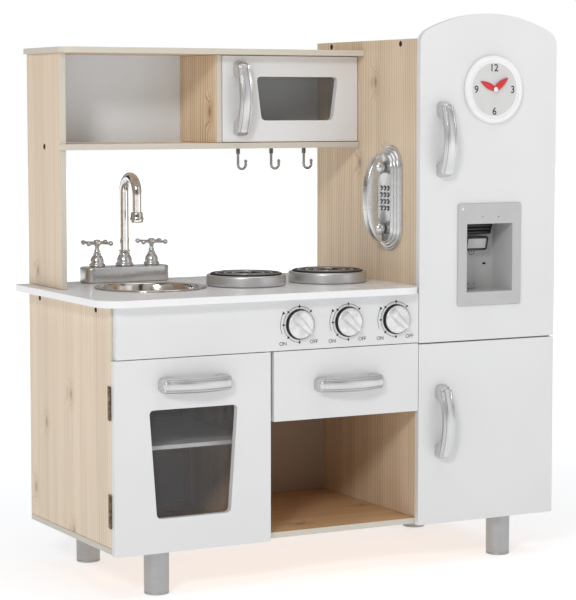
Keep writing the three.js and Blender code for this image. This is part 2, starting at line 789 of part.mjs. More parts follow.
// Straight up, half a turn forwards and straight down to the outlet.
class Gooseneck extends THREE.Curve {
  constructor(rise, reach, drop) {
    super();
    this.rise = rise;
    this.radius = reach / 2;
    this.drop = drop;
    this.bend = Math.PI * this.radius;
    this.total = rise + this.bend + drop;
  }

  getPoint(t, target = new THREE.Vector3()) {
    const along = t * this.total;
    if (along <= this.rise) return target.set(0, 0, along);
    if (along <= this.rise + this.bend) {
      const angle = (along - this.rise) / this.radius;
      const y = -this.radius + this.radius * Math.cos(angle);
      return target.set(0, y, this.rise + this.radius * Math.sin(angle));
    }
    return target.set(0, -2 * this.radius, this.rise - (along - this.rise - this.bend));
  }
}

function addFaucet() {
  const base = raise(stadium(faucetLength, faucetWidth), 0, faucetHeight, 12);
  const spoutBell = turned(bellProfile(bellRadius, bellNeck, bellHeight + 1), 20);
  const tapBell = bellProfile(bellRadius - 2, tapStemRadius + 1, bellHeight + 1);
  const tapBells = [-1, 1].map((side) => turned(tapBell, 20)
    .translate(side * tapSpacing / 2, 0, faucetHeight - 1));
  const body = join(base, spoutBell.translate(0, 0, faucetHeight - 1), ...tapBells);
  addPart('faucet_base', body, 'silverPaint').position.set(faucetX, faucetY, counterTop + fitGap);

  const foot = faucetTop + bellHeight + turnGap / 2;
  const spoutTop = counterTop + (shelfBottom - counterTop) * spoutShare;
  const rise = spoutTop - tubeRadius - spoutReach / 2 - foot;
  const neck = tube(new Gooseneck(rise, spoutReach, spoutDrop), tubeRadius, 30, 12);
  const outletTop = rise - spoutDrop + 1;
  const nozzle = turned([
    [0, outletTop - nozzleHeight], [nozzleRadius - 1, outletTop - nozzleHeight],
    [nozzleRadius, outletTop - nozzleHeight + 1], [tubeRadius + 1, outletTop], [0, outletTop],
  ], 16).translate(0, -spoutReach, 0);
  addPart('faucet_spout', join(neck, nozzle), 'chromePlate').position.set(faucetX, faucetY, foot);

  const names = { tap_left: -1, tap_right: 1 };
  for (const [name, side] of Object.entries(names)) {
    const tap = addPart(name, tapGeometry(), 'silverPaint');
    tap.position.set(faucetX + side * tapSpacing / 2, faucetY, foot);
    tap.rotation.z = THREE.MathUtils.degToRad(tapTurn);
  }
}

// A stem with four arms, each ending in a ball.
function tapGeometry() {
  const stem = turned([
    [0, 0], [tapStemRadius, 0], [tapStemRadius - 1, tapStemHeight * 0.5],
    [tapStemRadius + 1, tapStemHeight - 4], [tapStemRadius + 1, tapStemHeight + 3],
    [tapStemRadius - 2, tapStemHeight + 6], [0, tapStemHeight + 6],
  ], 12);
  const arms = [0, 1].map((turn) => rod(tapArmRadius, 2 * tapArm, 8)
    .rotateZ(Math.PI / 2)
    .rotateZ(turn * Math.PI / 2)
    .translate(0, 0, tapStemHeight));
  const balls = [0, 1, 2, 3].map((turn) => new THREE.SphereGeometry(tapBall, 8, 6)
    .translate(tapArm, 0, 0)
    .rotateZ(turn * Math.PI / 2)
    .translate(0, 0, tapStemHeight));
  return join(stem, ...arms, ...balls);
}

// ---------------------------------------------------------------- hob

class FlatSpiral extends THREE.Curve {
  getPoint(t, target = new THREE.Vector3()) {
    const radius = coilEye + (burnerRadius - coilMargin - coilEye) * t;
    const angle = t * coilTurns * 2 * Math.PI;
    return target.set(radius * Math.cos(angle), radius * Math.sin(angle), 0);
  }
}

function addBurners() {
  const inner = burnerRadius - burnerLip;
  const floor = burnerHeight - burnerRecess;
  const profile = [
    [0, 0], [burnerRadius, 0], [burnerRadius, burnerHeight - 3], [burnerRadius - 3, burnerHeight],
    [inner, burnerHeight], [inner, floor], [0, floor],
  ];
  ['left', 'right'].forEach((side, index) => {
    const x = hobLeft + burnerRadius + index * (2 * burnerRadius + burnerGap);
    const pan = addPart(`burner_${side}`, turned(profile, 32), 'silverPaint');
    pan.position.set(x, burnerY, counterTop + fitGap);
    const coil = addPart(`coil_${side}`, tube(new FlatSpiral(), coilWire, 64, 6), 'blackPlastic');
    coil.position.set(x, burnerY, counterTop + 2 * fitGap + floor + coilWire);
  });
}

// ---------------------------------------------------------------- clock

function handGeometry() {
  const leaf = new THREE.Shape();
  const root = clockPinRadius + 2.5;
  leaf.absarc(0, 0, root, Math.PI * 0.62, Math.PI * 2.38, false);
  leaf.quadraticCurveTo(handWidth * 0.9, handLength * 0.45, 0, handLength);
  leaf.quadraticCurveTo(-handWidth * 0.9, handLength * 0.45, root * Math.cos(Math.PI * 0.62),
    root * Math.sin(Math.PI * 0.62));
  const hole = new THREE.Path();
  hole.absarc(0, 0, clockPinRadius + turnGap / 2, 0, 2 * Math.PI, true);
  leaf.holes.push(hole);
  return deepen(leaf, -handThickness, 0, 8);
}

function addClock() {
  const faceDepth = clockDepth - clockRecess;
  const pinDepth = faceDepth + 3 * turnGap + 2 * handThickness;
  const body = turnedOut([
    [0, 0], [clockRadius - 1, 0], [clockRadius, 1], [clockRadius - 2, clockDepth - 2],
    [clockRadius - 5, clockDepth], [clockFaceRadius, clockDepth - 1], [clockFaceRadius, faceDepth],
    [clockPinRadius, faceDepth], [clockPinRadius, pinDepth], [0, pinDepth],
  ], 32);
  const back = doorFace - fitGap;
  const clockX = fridgeDoorLeft + clockInset;
  const clockHeight = fridgeDoorTop - clockDrop;
  addPart('clock_body', body, 'whiteFront').position.set(clockX, back, clockHeight);
  const hands = { hour_hand: hourAngle, minute_hand: minuteAngle };
  Object.entries(hands).forEach(([name, angle], index) => {
    const hand = addPart(name, handGeometry(), 'redPlastic');
    const y = back - faceDepth - turnGap - index * (handThickness + turnGap / 2);
    hand.position.set(clockX, y, clockHeight);
    hand.rotation.y = THREE.MathUtils.degToRad(angle);
  });
}

// ---------------------------------------------------------------- water dispenser

function addDispenser() {
  const dispenserX = fridgeDoorLeft + dispenserInset;
  const dispenserBottom = fridgeSplit + dispenserLift;
  const left = dispenserX - dispenserWidth / 2;
  const right = dispenserX + dispenserWidth / 2;
  const low = dispenserBottom + cavityLift;
  const high = low + cavityHeight;
  const side = cavityWidth / 2;
  const flangeBack = doorFace - fitGap;
  const flangeFront = flangeBack - dispenserFlange;
  const cavityBack = flangeFront + cavityDepth;
  const flange = rectangle(left, right, dispenserBottom, dispenserBottom + dispenserHeight);
  const plate = deepen(roundedOutline(flange, dispenserCorner), flangeFront, flangeBack, 4);
  const wall = dispenserWall;
  const tub = slab(
    dispenserX - side - wall, dispenserX + side + wall, flangeFront + 1, cavityBack + wall,
    low - wall, high + wall,
  );
  const cavity = slab(dispenserX - side, dispenserX + side, flangeFront - 1, cavityBack, low, high);
  const housing = cut(join(plate, tub), cavity);
  addPart('dispenser_housing', housing, 'greyPlastic');

  const chuteTop = high - turnGap;
  const chuteBottom = chuteTop - chuteHeight;
  const chuteFront = cavityBack - fitGap - chuteDepth;
  const chute = slab(
    dispenserX - chuteWidth / 2, dispenserX + chuteWidth / 2, chuteFront, cavityBack - fitGap,
    chuteBottom, chuteTop,
  );
  addPart('dispenser_chute', chute, 'blackPlastic');

  const half = leverWidth / 2;
  const shape = new THREE.Shape();
  shape.moveTo(-half, -leverLength);
  shape.lineTo(half, -leverLength);
  shape.lineTo(half, 0);
  shape.lineTo(-half, 0);
  shape.closePath();
  const gap = new THREE.Path();
  gap.moveTo(-half + leverBar, -leverLength + leverBar);
  gap.lineTo(-half + leverBar, -leverBar);
  gap.lineTo(half - leverBar, -leverBar);
  gap.lineTo(half - leverBar, -leverLength + leverBar);
  gap.closePath();
  shape.holes.push(gap);
  const lever = addPart('dispenser_lever', deepen(shape, -leverBar / 2, leverBar / 2, 1), 'blackPlastic');
  lever.position.set(dispenserX, chuteFront + chuteDepth / 3, chuteBottom - turnGap - leverBar / 2);
  lever.rotation.x = -THREE.MathUtils.degToRad(leverTilt);
}

// ---------------------------------------------------------------- telephone

// The base is a stack of ovals on the fridge panel, each smaller than the one behind it.
function addPhoneBase() {
  const outward = -1;
  const stepDepth = phoneDepth / phoneSteps;
  const layers = [];
  for (let step = 0; step < phoneSteps; step += 1) {
    const inset = step * phoneStepInset;
    const overlap = step === 0 ? 0 : 1;
    const oval = stadium(phoneHeight - 2 * inset, phoneWidth - 2 * inset);
    const layer = raise(oval, step * stepDepth - overlap, (step + 1) * stepDepth, 8);
    layers.push(layer);
  }
  const base = addPart('phone_base', join(...layers), 'silverPaint');
  base.rotation.y = outward * Math.PI / 2;
  base.position.set(fridgeLeft - fitGap, phoneY, counterTop + phoneLift);
}

// The handset bows away from the base between two round ends that rest on it.
function addHandset() {
  const reach = handsetReach - phoneDepth - fitGap;
  const half = handsetLength / 2;
  const ball = handsetBallSpacing / 2;
  const shape = new THREE.Shape();
  const tipLift = handsetBall;
  shape.moveTo(-half, tipLift);
  shape.quadraticCurveTo(-half + 6, reach - 9, -half + 26, reach - 5);
  shape.quadraticCurveTo(0, reach + 5, half - 26, reach - 5);
  shape.quadraticCurveTo(half - 6, reach - 9, half, tipLift);
  shape.lineTo(half - 8, tipLift);
  const innerEnd = half - 22;
  const innerReach = reach - handsetThickness;
  shape.quadraticCurveTo(innerEnd, innerReach - 4, ball - 14, innerReach);
  shape.lineTo(-ball + 14, innerReach);
  shape.quadraticCurveTo(-innerEnd, innerReach - 4, -half + 8, tipLift);
  shape.closePath();
  const grip = raise(shape, -handsetWidth / 2, handsetWidth / 2, 8);
  const cups = [-1, 1].map((side) => turned([
    [0, 0], [handsetBall - 3, 0], [handsetBall, 3], [handsetBall, handsetBall],
    [handsetBall * 0.87, handsetBall * 1.5], [handsetBall * 0.5, handsetBall * 1.87],
    [0, handsetBall * 2],
  ], 14).rotateX(-Math.PI / 2).translate(side * ball, 0, 0));
  const handset = addPart('phone_handset', join(grip, ...cups), 'silverPaint');
  // Shape X runs up the panel, shape Y runs out of it and the width runs along Y.
  const frame = new THREE.Matrix4().makeBasis(
    new THREE.Vector3(0, 0, 1), new THREE.Vector3(-1, 0, 0), new THREE.Vector3(0, -1, 0),
  );
  handset.setRotationFromMatrix(frame);
  handset.position.set(fridgeLeft - 2 * fitGap - phoneDepth, phoneY, counterTop + phoneLift);
}

// ---------------------------------------------------------------- oven door hinges

function addHinges() {
  const heights = {
    oven_hinge_upper: lowerFrontTop - upperHingeDrop,
    oven_hinge_lower: frontBottom + lowerHingeLift,
  };
  for (const [name, height] of Object.entries(heights)) {
    const barrelX = -(hingeBarrel + fitGap);
    const barrel = rod(hingeBarrel, hingeHeight, 14).rotateX(Math.PI / 2).translate(barrelX, 0, 0);
    const leaf = slab(
      -fitGap - hingeLeafThickness, -fitGap, 0, hingeLeaf, -hingeHeight / 2, hingeHeight / 2,
    );
    addPart(name, join(barrel, leaf), 'bronzeHinge').position.set(0, 0, height);
  }
}

// ---------------------------------------------------------------- the whole kitchen

addLegs();
addCarcass();
addFridgeBox();
addCountertop();
addShelf();
addHooks();
addOvenDoor();
addMicrowaveDoor();
addFridgeDoors();
addDrawer();
addHandles();
addKnobs();
addSink();
addFaucet();
addBurners();
addClock();
addDispenser();
addPhoneBase();
addHandset();
addHinges();

// The origin goes to the middle of the footprint, handles and counter edges included.
const footprintFront = doorFace - fitGap - handleReach;
const footprintBack = carcassDepth;
kitchen.position.x = -(carcassWidth - counterOverhangLeft) / 2;
kitchen.position.y = -(footprintFront + footprintBack) / 2;

export default kitchen;
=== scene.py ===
"""A child's wooden play kitchen, dressed for a studio view.

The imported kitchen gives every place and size. Each operator adds one piece or one group of
like pieces and gives it its finish. Lengths are in metres, +Z is up, the fronts face -Y.
"""

from math import cos, pi, radians, sin

import bmesh
import bpy
import numpy as np
from bpy.props import FloatProperty, FloatVectorProperty, PointerProperty
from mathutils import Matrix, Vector


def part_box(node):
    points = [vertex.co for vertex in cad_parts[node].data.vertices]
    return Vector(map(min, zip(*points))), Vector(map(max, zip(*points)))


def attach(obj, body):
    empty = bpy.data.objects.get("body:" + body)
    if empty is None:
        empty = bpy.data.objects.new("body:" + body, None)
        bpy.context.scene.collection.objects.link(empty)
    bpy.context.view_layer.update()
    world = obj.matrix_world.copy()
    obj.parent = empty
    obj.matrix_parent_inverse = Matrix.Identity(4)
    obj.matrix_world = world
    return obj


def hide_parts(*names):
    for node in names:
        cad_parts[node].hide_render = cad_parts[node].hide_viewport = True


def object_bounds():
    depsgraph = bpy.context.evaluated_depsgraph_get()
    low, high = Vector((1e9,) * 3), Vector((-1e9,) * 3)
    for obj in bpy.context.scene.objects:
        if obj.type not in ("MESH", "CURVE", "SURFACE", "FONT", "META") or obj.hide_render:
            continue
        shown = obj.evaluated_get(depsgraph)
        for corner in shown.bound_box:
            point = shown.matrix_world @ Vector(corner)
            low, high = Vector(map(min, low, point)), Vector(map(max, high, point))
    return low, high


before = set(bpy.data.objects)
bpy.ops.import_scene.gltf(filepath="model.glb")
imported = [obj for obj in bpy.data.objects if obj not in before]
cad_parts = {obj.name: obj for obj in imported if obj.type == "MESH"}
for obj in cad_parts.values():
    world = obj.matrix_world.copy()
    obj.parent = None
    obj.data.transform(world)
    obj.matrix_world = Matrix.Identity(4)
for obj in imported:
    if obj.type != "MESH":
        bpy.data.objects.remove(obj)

bl_info = {
    "name": "Play Kitchen",
    "version": (1, 0, 0),
    "blender": (4, 5, 0),
    "location": "View3D > Sidebar > Play Kitchen",
    "description": "Builds and finishes a wooden play kitchen around its packed frame",
    "category": "Object",
}

MM = 0.001
PACKED_BOUNDS = [list(corner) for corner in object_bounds()]

OUT = np.array([0.0, -1.0, 0.0])      # out of the fronts
RIGHT = np.array([1.0, 0.0, 0.0])
UP = np.array([0.0, 0.0, 1.0])
LEFT = -RIGHT
BACK = -OUT


# ------------------------------------------------------------------ what a user would change

def colour(name, description, value):
    """A linear colour with a picker."""
    return FloatVectorProperty(
        name=name, description=description, default=value, subtype="COLOR", size=3, min=0, max=1)


def length(name, description, value):
    """A length, kept in metres."""
    return FloatProperty(name=name, description=description, default=value, unit="LENGTH", min=0)


class PlayKitchenColours(bpy.types.PropertyGroup):
    """Colours of the finishes."""

    pine: colour("Pine", "Ground of the pale pine foil", (0.745, 0.625, 0.480))
    pine_streak: colour("Pine streak", "Grain lines of the pale pine foil", (0.635, 0.455, 0.310))
    warm_pine: colour("Warm pine", "Ground of the foil inside", (0.690, 0.465, 0.265))
    warm_streak: colour("Warm streak", "Grain lines of the foil inside", (0.470, 0.255, 0.115))
    band: colour("Edge band", "Foil on the edges of the boards", (0.610, 0.570, 0.490))
    white: colour("White lacquer", "Doors, drawer and control panel", (0.745, 0.745, 0.748))
    grey_board: colour("Grey board", "Thin back panels", (0.820, 0.885, 0.960))
    brown_board: colour("Brown board", "Thin lower back panel", (0.430, 0.345, 0.275))
    silver: colour("Silver paint", "Painted mouldings", (0.640, 0.640, 0.640))
    steel: colour("Steel", "Sink bowl", (0.640, 0.590, 0.540))
    plate: colour("Plating", "Spout", (0.720, 0.700, 0.680))
    nickel: colour("Nickel", "Hooks", (0.330, 0.315, 0.300))
    black: colour("Black", "Coils, chute and prints", (0.012, 0.012, 0.013))
    # Darker than the moulding's own grey: painted shade in the dispenser recess.
    dispenser: colour("Dispenser", "Water dispenser moulding", (0.500, 0.500, 0.500))
    pearl: colour("Pearl", "Knobs", (0.720, 0.720, 0.720))
    dial: colour("Dial", "Clock face", (0.640, 0.640, 0.625))
    red: colour("Red", "Clock hands", (0.620, 0.022, 0.035))
    bronze: colour("Bronze", "Door hinges", (0.120, 0.080, 0.052))


class PlayKitchenSizes(bpy.types.PropertyGroup):
    """Sizes of the details that the frame leaves open."""

    edge_softness: length("Edge softness", "Rounding of board edges", 0.7 * MM)
    handle_band: length("Handle band", "Half width of the smooth band along a handle", 6.4 * MM)
    handle_groove: length("Handle groove", "Depth of the grooves beside the band", 1.2 * MM)
    dial_ring: length("Dial ring", "Printed black ring outside the knob", 1.8 * MM)
    dial_scale: length("Dial scale", "Scale line outside the knob", 6.0 * MM)
    digit_height: length("Digit height", "Figures on the clock", 12.5 * MM)
    button_radius: length("Button radius", "Telephone buttons", 3.1 * MM)
    screw_hole: length("Screw hole", "Radius of the open screw holes", 4.4 * MM)
    print_depth: length("Print depth", "Thickness of printed marks", 0.15 * MM)


class PlayKitchenStage(bpy.types.PropertyGroup):
    """Camera and light."""

    azimuth: FloatProperty(
        name="Azimuth", description="Camera direction, 0 looks along +Y",
        default=radians(-28.235), subtype="ANGLE")
    elevation: FloatProperty(
        name="Elevation", description="How far the camera looks down",
        default=radians(5.174), subtype="ANGLE")
    distance: length("Distance", "Camera from the point it looks at", 3.75)
    lens: FloatProperty(
        name="Lens", description="Focal length on a 36 mm sensor", default=129.3, unit="CAMERA")
    key_power: FloatProperty(name="Key", description="Key light", default=96, unit="POWER")
    fill_power: FloatProperty(name="Fill", description="Fill light", default=20, unit="POWER")
    top_power: FloatProperty(name="Top", description="Light from above", default=27, unit="POWER")
    room_light: FloatProperty(name="Room", description="Brightness of the room", default=0.42, min=0)


# ------------------------------------------------------------------ surfaces

def grid_shell(grid, wrap_u=False, wrap_v=True):
    """Points and four-cornered faces of a surface given on a grid of two parameters."""
    rows, columns = grid.shape[:2]
    index = np.arange(rows * columns).reshape(rows, columns)
    across = np.roll(index, -1, axis=1) if wrap_v else index[:, 1:]
    near = index if wrap_v else index[:, :-1]
    if wrap_u:
        far, far_across = np.roll(near, -1, axis=0), np.roll(across, -1, axis=0)
    else:
        far, far_across, near, across = near[1:], across[1:], near[:-1], across[:-1]
    faces = np.stack([near, across, far_across, far], axis=-1).reshape(-1, 4)
    return grid.reshape(-1, 3), faces


def capped(grid):
    """The same grid with its first and last ring drawn in to their middles."""
    first = np.repeat(grid[:1].mean(axis=1, keepdims=True), grid.shape[1], axis=1)
    last = np.repeat(grid[-1:].mean(axis=1, keepdims=True), grid.shape[1], axis=1)
    return np.concatenate([first, grid, last])


def placed(grid, origin, x_axis=RIGHT, y_axis=BACK, z_axis=UP):
    """A grid moved to an origin and turned to three axes."""
    return np.asarray(origin) + grid @ np.stack([x_axis, y_axis, z_axis])


def turned(profile, sides=72):
    """A surface of revolution: the point (r, h) goes to (r cos a, r sin a, h) for every angle a."""
    profile = np.asarray(profile, float)
    angle = np.arange(sides) / sides * 2 * pi
    ring = np.stack([np.cos(angle), np.sin(angle)], axis=-1)
    grid = np.zeros((len(profile), sides, 3))
    grid[..., :2] = profile[:, None, :1] * ring
    grid[..., 2] = profile[:, None, 1]
    return capped(grid)


def eased(profile, steps=6, ends=True):
    """A polyline with round corners: between the middles of its sides runs a parabola whose
    control point is the corner, (1-t)^2 a + 2 t (1-t) b + t^2 c."""
    profile = np.asarray(profile, float)
    middle = (profile[1:] + profile[:-1]) / 2
    t = np.linspace(0, 1, steps)[None, :, None]
    start, corner, stop = middle[:-1, None], profile[1:-1, None], middle[1:, None]
    curve = (1 - t) ** 2 * start + 2 * t * (1 - t) * corner + t ** 2 * stop
    curve = curve.reshape(-1, profile.shape[1])
    return np.concatenate([profile[:1], curve, profile[-1:]]) if ends else curve


def outline(half_x, half_y, radius, inset=0.0, steps=10):
    """A rounded rectangle: four quarter circles about the inner corners. An inset shortens their
    radius first and then draws the corners in."""
    angle = np.linspace(0, pi / 2, steps)
    angle = np.concatenate([angle + quarter * pi / 2 for quarter in range(4)])
    turn = np.repeat([[1, 1], [-1, 1], [-1, -1], [1, -1]], steps, axis=0)
    radius = min(radius, half_x, half_y)
    inner = np.array([half_x - radius, half_y - radius]) - max(inset - radius, 0)
    ring = max(radius - inset, 0) * np.stack([np.cos(angle), np.sin(angle)], axis=-1)
    return turn * np.maximum(inner, 0) + ring


def stacked(levels, half_x, half_y, radius, steps=10):
    """Rounded rectangles laid over each other: each level is (height, inset)."""
    rings = [np.column_stack([outline(half_x, half_y, radius, inset, steps),
                              np.full(4 * steps, height)]) for height, inset in levels]
    return capped(np.array(rings))


def rounded_levels(low, high, edge, steps=4, both=True):
    """Levels of a block whose rims are quarter circles of radius edge: height and inset run as
    edge (1 - cos a) and edge (1 - sin a)."""
    angle = np.linspace(0, pi / 2, steps)
    top = [(high - edge * (1 - sin(a)), edge * (1 - cos(a))) for a in angle]
    bottom = [(low + edge * (1 - sin(a)), edge * (1 - cos(a))) for a in angle[::-1]]
    return (bottom if both else [(low, 0.0)]) + top


def swept(path, normal, section, scale=None):
    """A section carried along a flat path: point + s (x side + y normal), where the side vector is
    across the path in its plane and s scales the section."""
    path, section = np.asarray(path, float), np.asarray(section, float)
    tangent = np.gradient(path, axis=0)
    tangent /= np.linalg.norm(tangent, axis=1, keepdims=True)
    side = np.cross(tangent, normal)
    side /= np.linalg.norm(side, axis=1, keepdims=True)
    scale = np.ones(len(path)) if scale is None else np.asarray(scale, float)
    across = section[None, :, :1] * side[:, None]
    along = section[None, :, 1:] * np.asarray(normal, float)[None, None]
    return capped(path[:, None] + scale[:, None, None] * (across + along))


def circle(radius, sides=16, squash=1.0):
    """Points of a circle, or of an ellipse."""
    angle = np.arange(sides) / sides * 2 * pi
    return radius * np.stack([np.cos(angle), squash * np.sin(angle)], axis=-1)


def prism(polygon, low, high):
    """A convex polygon in X and Y between two heights."""
    polygon = np.asarray(polygon, float)
    rings = [np.column_stack([polygon, np.full(len(polygon), height)]) for height in (low, high)]
    return capped(np.array(rings))


def ball(radius, centre, rings=12, sides=20, squash=1.0):
    """A sphere, or one squashed along its Z: r (sin p cos a, sin p sin a, k cos p)."""
    p = np.linspace(0, pi, rings)
    profile = np.stack([radius * np.sin(p), -radius * squash * np.cos(p)], axis=-1)
    return turned(profile, sides) + np.asarray(centre)


def tidy_shell(points, faces):
    """Merges points that lie together, drops faces of no size and turns the shell outwards. The
    sign of its volume, the sum of v0 . (v1 x v2) / 6 over its triangles, says which way it faces."""
    _, first, inverse = np.unique(
        np.round(points, 7), axis=0, return_index=True, return_inverse=True)
    points, faces = points[first], inverse.reshape(-1)[faces]
    same = faces == np.roll(faces, -1, axis=1)
    four = faces[~same.any(axis=1)]
    flat = same.sum(axis=1) == 1
    three = faces[flat][~same[flat]].reshape(-1, 3)
    triangles = np.concatenate([four[:, [0, 1, 2]], four[:, [0, 2, 3]], three])
    a, b, c = (points[triangles[:, k]] for k in range(3))
    centre = points.mean(0)
    volume = np.einsum("ij,ij->i", a - centre, np.cross(b - centre, c - centre)).sum()
    if volume < 0:
        four, three = four[:, ::-1], three[:, ::-1]
    return points, four.tolist() + three.tolist()


def add_piece(name, grids, finish, body, stands_for=(), sharp=32):
    """One object of one or more closed shells, in its place, riding on a body."""
    points, faces = [], []
    for grid in grids:
        shell_points, shell_faces = tidy_shell(*grid_shell(grid))
        offset = sum(len(block) for block in points)
        points.append(shell_points)
        faces += [[corner + offset for corner in face] for face in shell_faces]
    mesh = bpy.data.meshes.new(name)
    mesh.from_pydata(np.concatenate(points).tolist(), [], faces)
    return finish_piece(name, mesh, finish, body, stands_for, sharp)


def finish_piece(name, mesh, finish, body, stands_for=(), sharp=32):
    """Shades a mesh, gives it its finish and lets it ride."""
    mesh.shade_smooth()
    mesh.set_sharp_from_angle(angle=radians(sharp))
    mesh.materials.clear()
    mesh.materials.append(finish)
    piece = bpy.data.objects.new(name, mesh)
    bpy.context.scene.collection.objects.link(piece)
    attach(piece, body)
    if stands_for:
        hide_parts(*stands_for)
    return piece


def softened(node, finish, body, edge):
    """A board of the frame with soft edges. Faces across its thinnest side are marked as its
    wide faces, the others as its edge band."""
    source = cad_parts[node]
    shape = bmesh.new()
    shape.from_mesh(source.data)
    bmesh.ops.remove_doubles(shape, verts=shape.verts, dist=1e-5)
    bmesh.ops.dissolve_limit(
        shape, angle_limit=radians(1), verts=shape.verts, edges=shape.edges)
    mesh = bpy.data.meshes.new(node + "_board")
    shape.to_mesh(mesh)
    shape.free()
    mesh.attributes.remove(mesh.attributes["custom_normal"])    # the loose triangles' own shading
    low, high = (np.array(corner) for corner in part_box(node))
    thin = int(np.argmin(high - low))
    normals = np.zeros(len(mesh.polygons) * 3)
    mesh.polygons.foreach_get("normal", normals)
    band = (np.abs(normals.reshape(-1, 3)[:, thin]) < 0.5).astype(np.float32)
    mesh.attributes.new("band", "FLOAT", "FACE").data.foreach_set("value", band)
    piece = finish_piece(node + "_board", mesh, finish, body, (node,))
    bevel = piece.modifiers.new("soft edges", "BEVEL")
    bevel.width = edge
    bevel.segments = 2
    bevel.limit_method = "ANGLE"
    bevel.angle_limit = radians(40)
    bevel.harden_normals = True
    return piece


def lettering(text, height, origin, right, up, depth, weight=0.0):
    """Figures or letters as a thin solid, centred on origin: a flat curve made a mesh, then moved."""
    curve = bpy.data.curves.new("lettering", "FONT")
    curve.body = text
    curve.size = height / 0.7
    curve.align_x = "CENTER"
    curve.align_y = "CENTER"
    curve.extrude = depth / 2
    curve.offset = weight
    curve.resolution_u = 4
    holder = bpy.data.objects.new("lettering", curve)
    mesh = bpy.data.meshes.new_from_object(holder)
    bpy.data.objects.remove(holder)
    points = np.zeros(len(mesh.vertices) * 3)
    mesh.vertices.foreach_get("co", points)
    points = points.reshape(-1, 3)
    points[:, :2] -= (points[:, :2].max(0) + points[:, :2].min(0)) / 2
    right, up = np.asarray(right, float), np.asarray(up, float)
    moved = np.asarray(origin) + points @ np.stack([right, up, np.cross(right, up)])
    mesh.vertices.foreach_set("co", moved.ravel())
    return mesh


# ------------------------------------------------------------------ finishes

class Value:
    """A node's output that works in arithmetic: every operator adds one Math node."""

    def __init__(self, finish, socket):
        self.finish = finish
        self.socket = socket

    def _math(self, operation, *values):
        return self.finish.node(
            "ShaderNodeMath", {"operation": operation}, dict(enumerate(values)))

    def __add__(self, other):
        return self._math("ADD", self, other)

    def __sub__(self, other):
        return self._math("SUBTRACT", self, other)

    def __rsub__(self, other):
        return self._math("SUBTRACT", other, self)

    def __mul__(self, other):
        return self._math("MULTIPLY", self, other)

    def __pow__(self, other):
        return self._math("POWER", self, other)

    __radd__ = __add__
    __rmul__ = __mul__

    def root(self):
        return self._math("SQRT", self)

    def sine(self):
        return self._math("SINE", self)

    def between(self, low, high):
        """0 below low, 1 above high, and smooth from one to the other."""
        return self.finish.node(
            "ShaderNodeMapRange", {"interpolation_type": "SMOOTHSTEP"},
            {"Value": self, "From Min": low, "From Max": high})


class Finish:
    """A material with one Principled shader. Constants are set on the shader's own sockets."""

    def __init__(self, name, **constants):
        self.material = bpy.data.materials.new(name)
        self.material.use_nodes = True
        self.tree = self.material.node_tree
        self.tree.nodes.clear()
        self.shader = self.tree.nodes.new("ShaderNodeBsdfPrincipled")
        output = self.tree.nodes.new("ShaderNodeOutputMaterial")
        self.tree.links.new(self.shader.outputs[0], output.inputs[0])
        for key, value in constants.items():
            label = key.replace("_", " ").title().replace("Ior", "IOR")
            self.shader.inputs[label].default_value = value
        self.place = self.node("ShaderNodeTexCoord", output="Object")

    def node(self, kind, settings=None, values=None, output=0):
        """A node of a type, with its settings and then the values or links of its sockets."""
        made = self.tree.nodes.new(kind)
        for key, value in (settings or {}).items():
            setattr(made, key, value)
        for key, value in (values or {}).items():
            if isinstance(value, Value):
                self.tree.links.new(value.socket, made.inputs[key])
            else:
                made.inputs[key].default_value = value
        return Value(self, made.outputs[output])

    def axes(self):
        """The three object coordinates, in metres."""
        split = self.tree.nodes.new("ShaderNodeSeparateXYZ")
        self.tree.links.new(self.place.socket, split.inputs[0])
        return [Value(self, socket) for socket in split.outputs]

    def stretched(self, x, y, z, shift=(0.0, 0.0, 0.0)):
        """Object coordinates times three scales, plus a shift."""
        return self.node("ShaderNodeVectorMath", {"operation": "MULTIPLY_ADD"},
                         {0: self.place, 1: (x, y, z), 2: shift})

    def noise(self, vector, scale=1.0, detail=2.0, roughness=0.5):
        return self.node("ShaderNodeTexNoise", None, {
            "Vector": vector, "Scale": scale, "Detail": detail, "Roughness": roughness})

    def mix(self, factor, first, second):
        """One colour into another."""
        def opaque(value):
            return value if isinstance(value, Value) else (*value[:3], 1.0)
        return self.node("ShaderNodeMix", {"data_type": "RGBA"},
                         {0: factor, 6: opaque(first), 7: opaque(second)}, output=2)

    def attribute(self, name):
        return self.node("ShaderNodeAttribute", {"attribute_name": name}, output="Fac")

    def feed(self, socket, value):
        self.tree.links.new(value.socket, self.shader.inputs[socket])

    def relief(self, height, depth, strength=1.0):
        """Bumps of that depth in metres into the shader's normal."""
        bump = self.node("ShaderNodeBump", None, {
            "Strength": strength, "Distance": depth, "Height": height})
        self.feed("Normal", bump)


def shade(value, factor):
    """A colour made lighter or darker by a factor."""
    return tuple(min(1.0, part * factor) for part in value)


def chosen():
    return bpy.context.scene.play_kitchen_colours


def kept(name, make):
    """The finish of that name, made the first time it is asked for."""
    found = bpy.data.materials.get(name)
    return found if found else make(name)


AXES = "xyz"


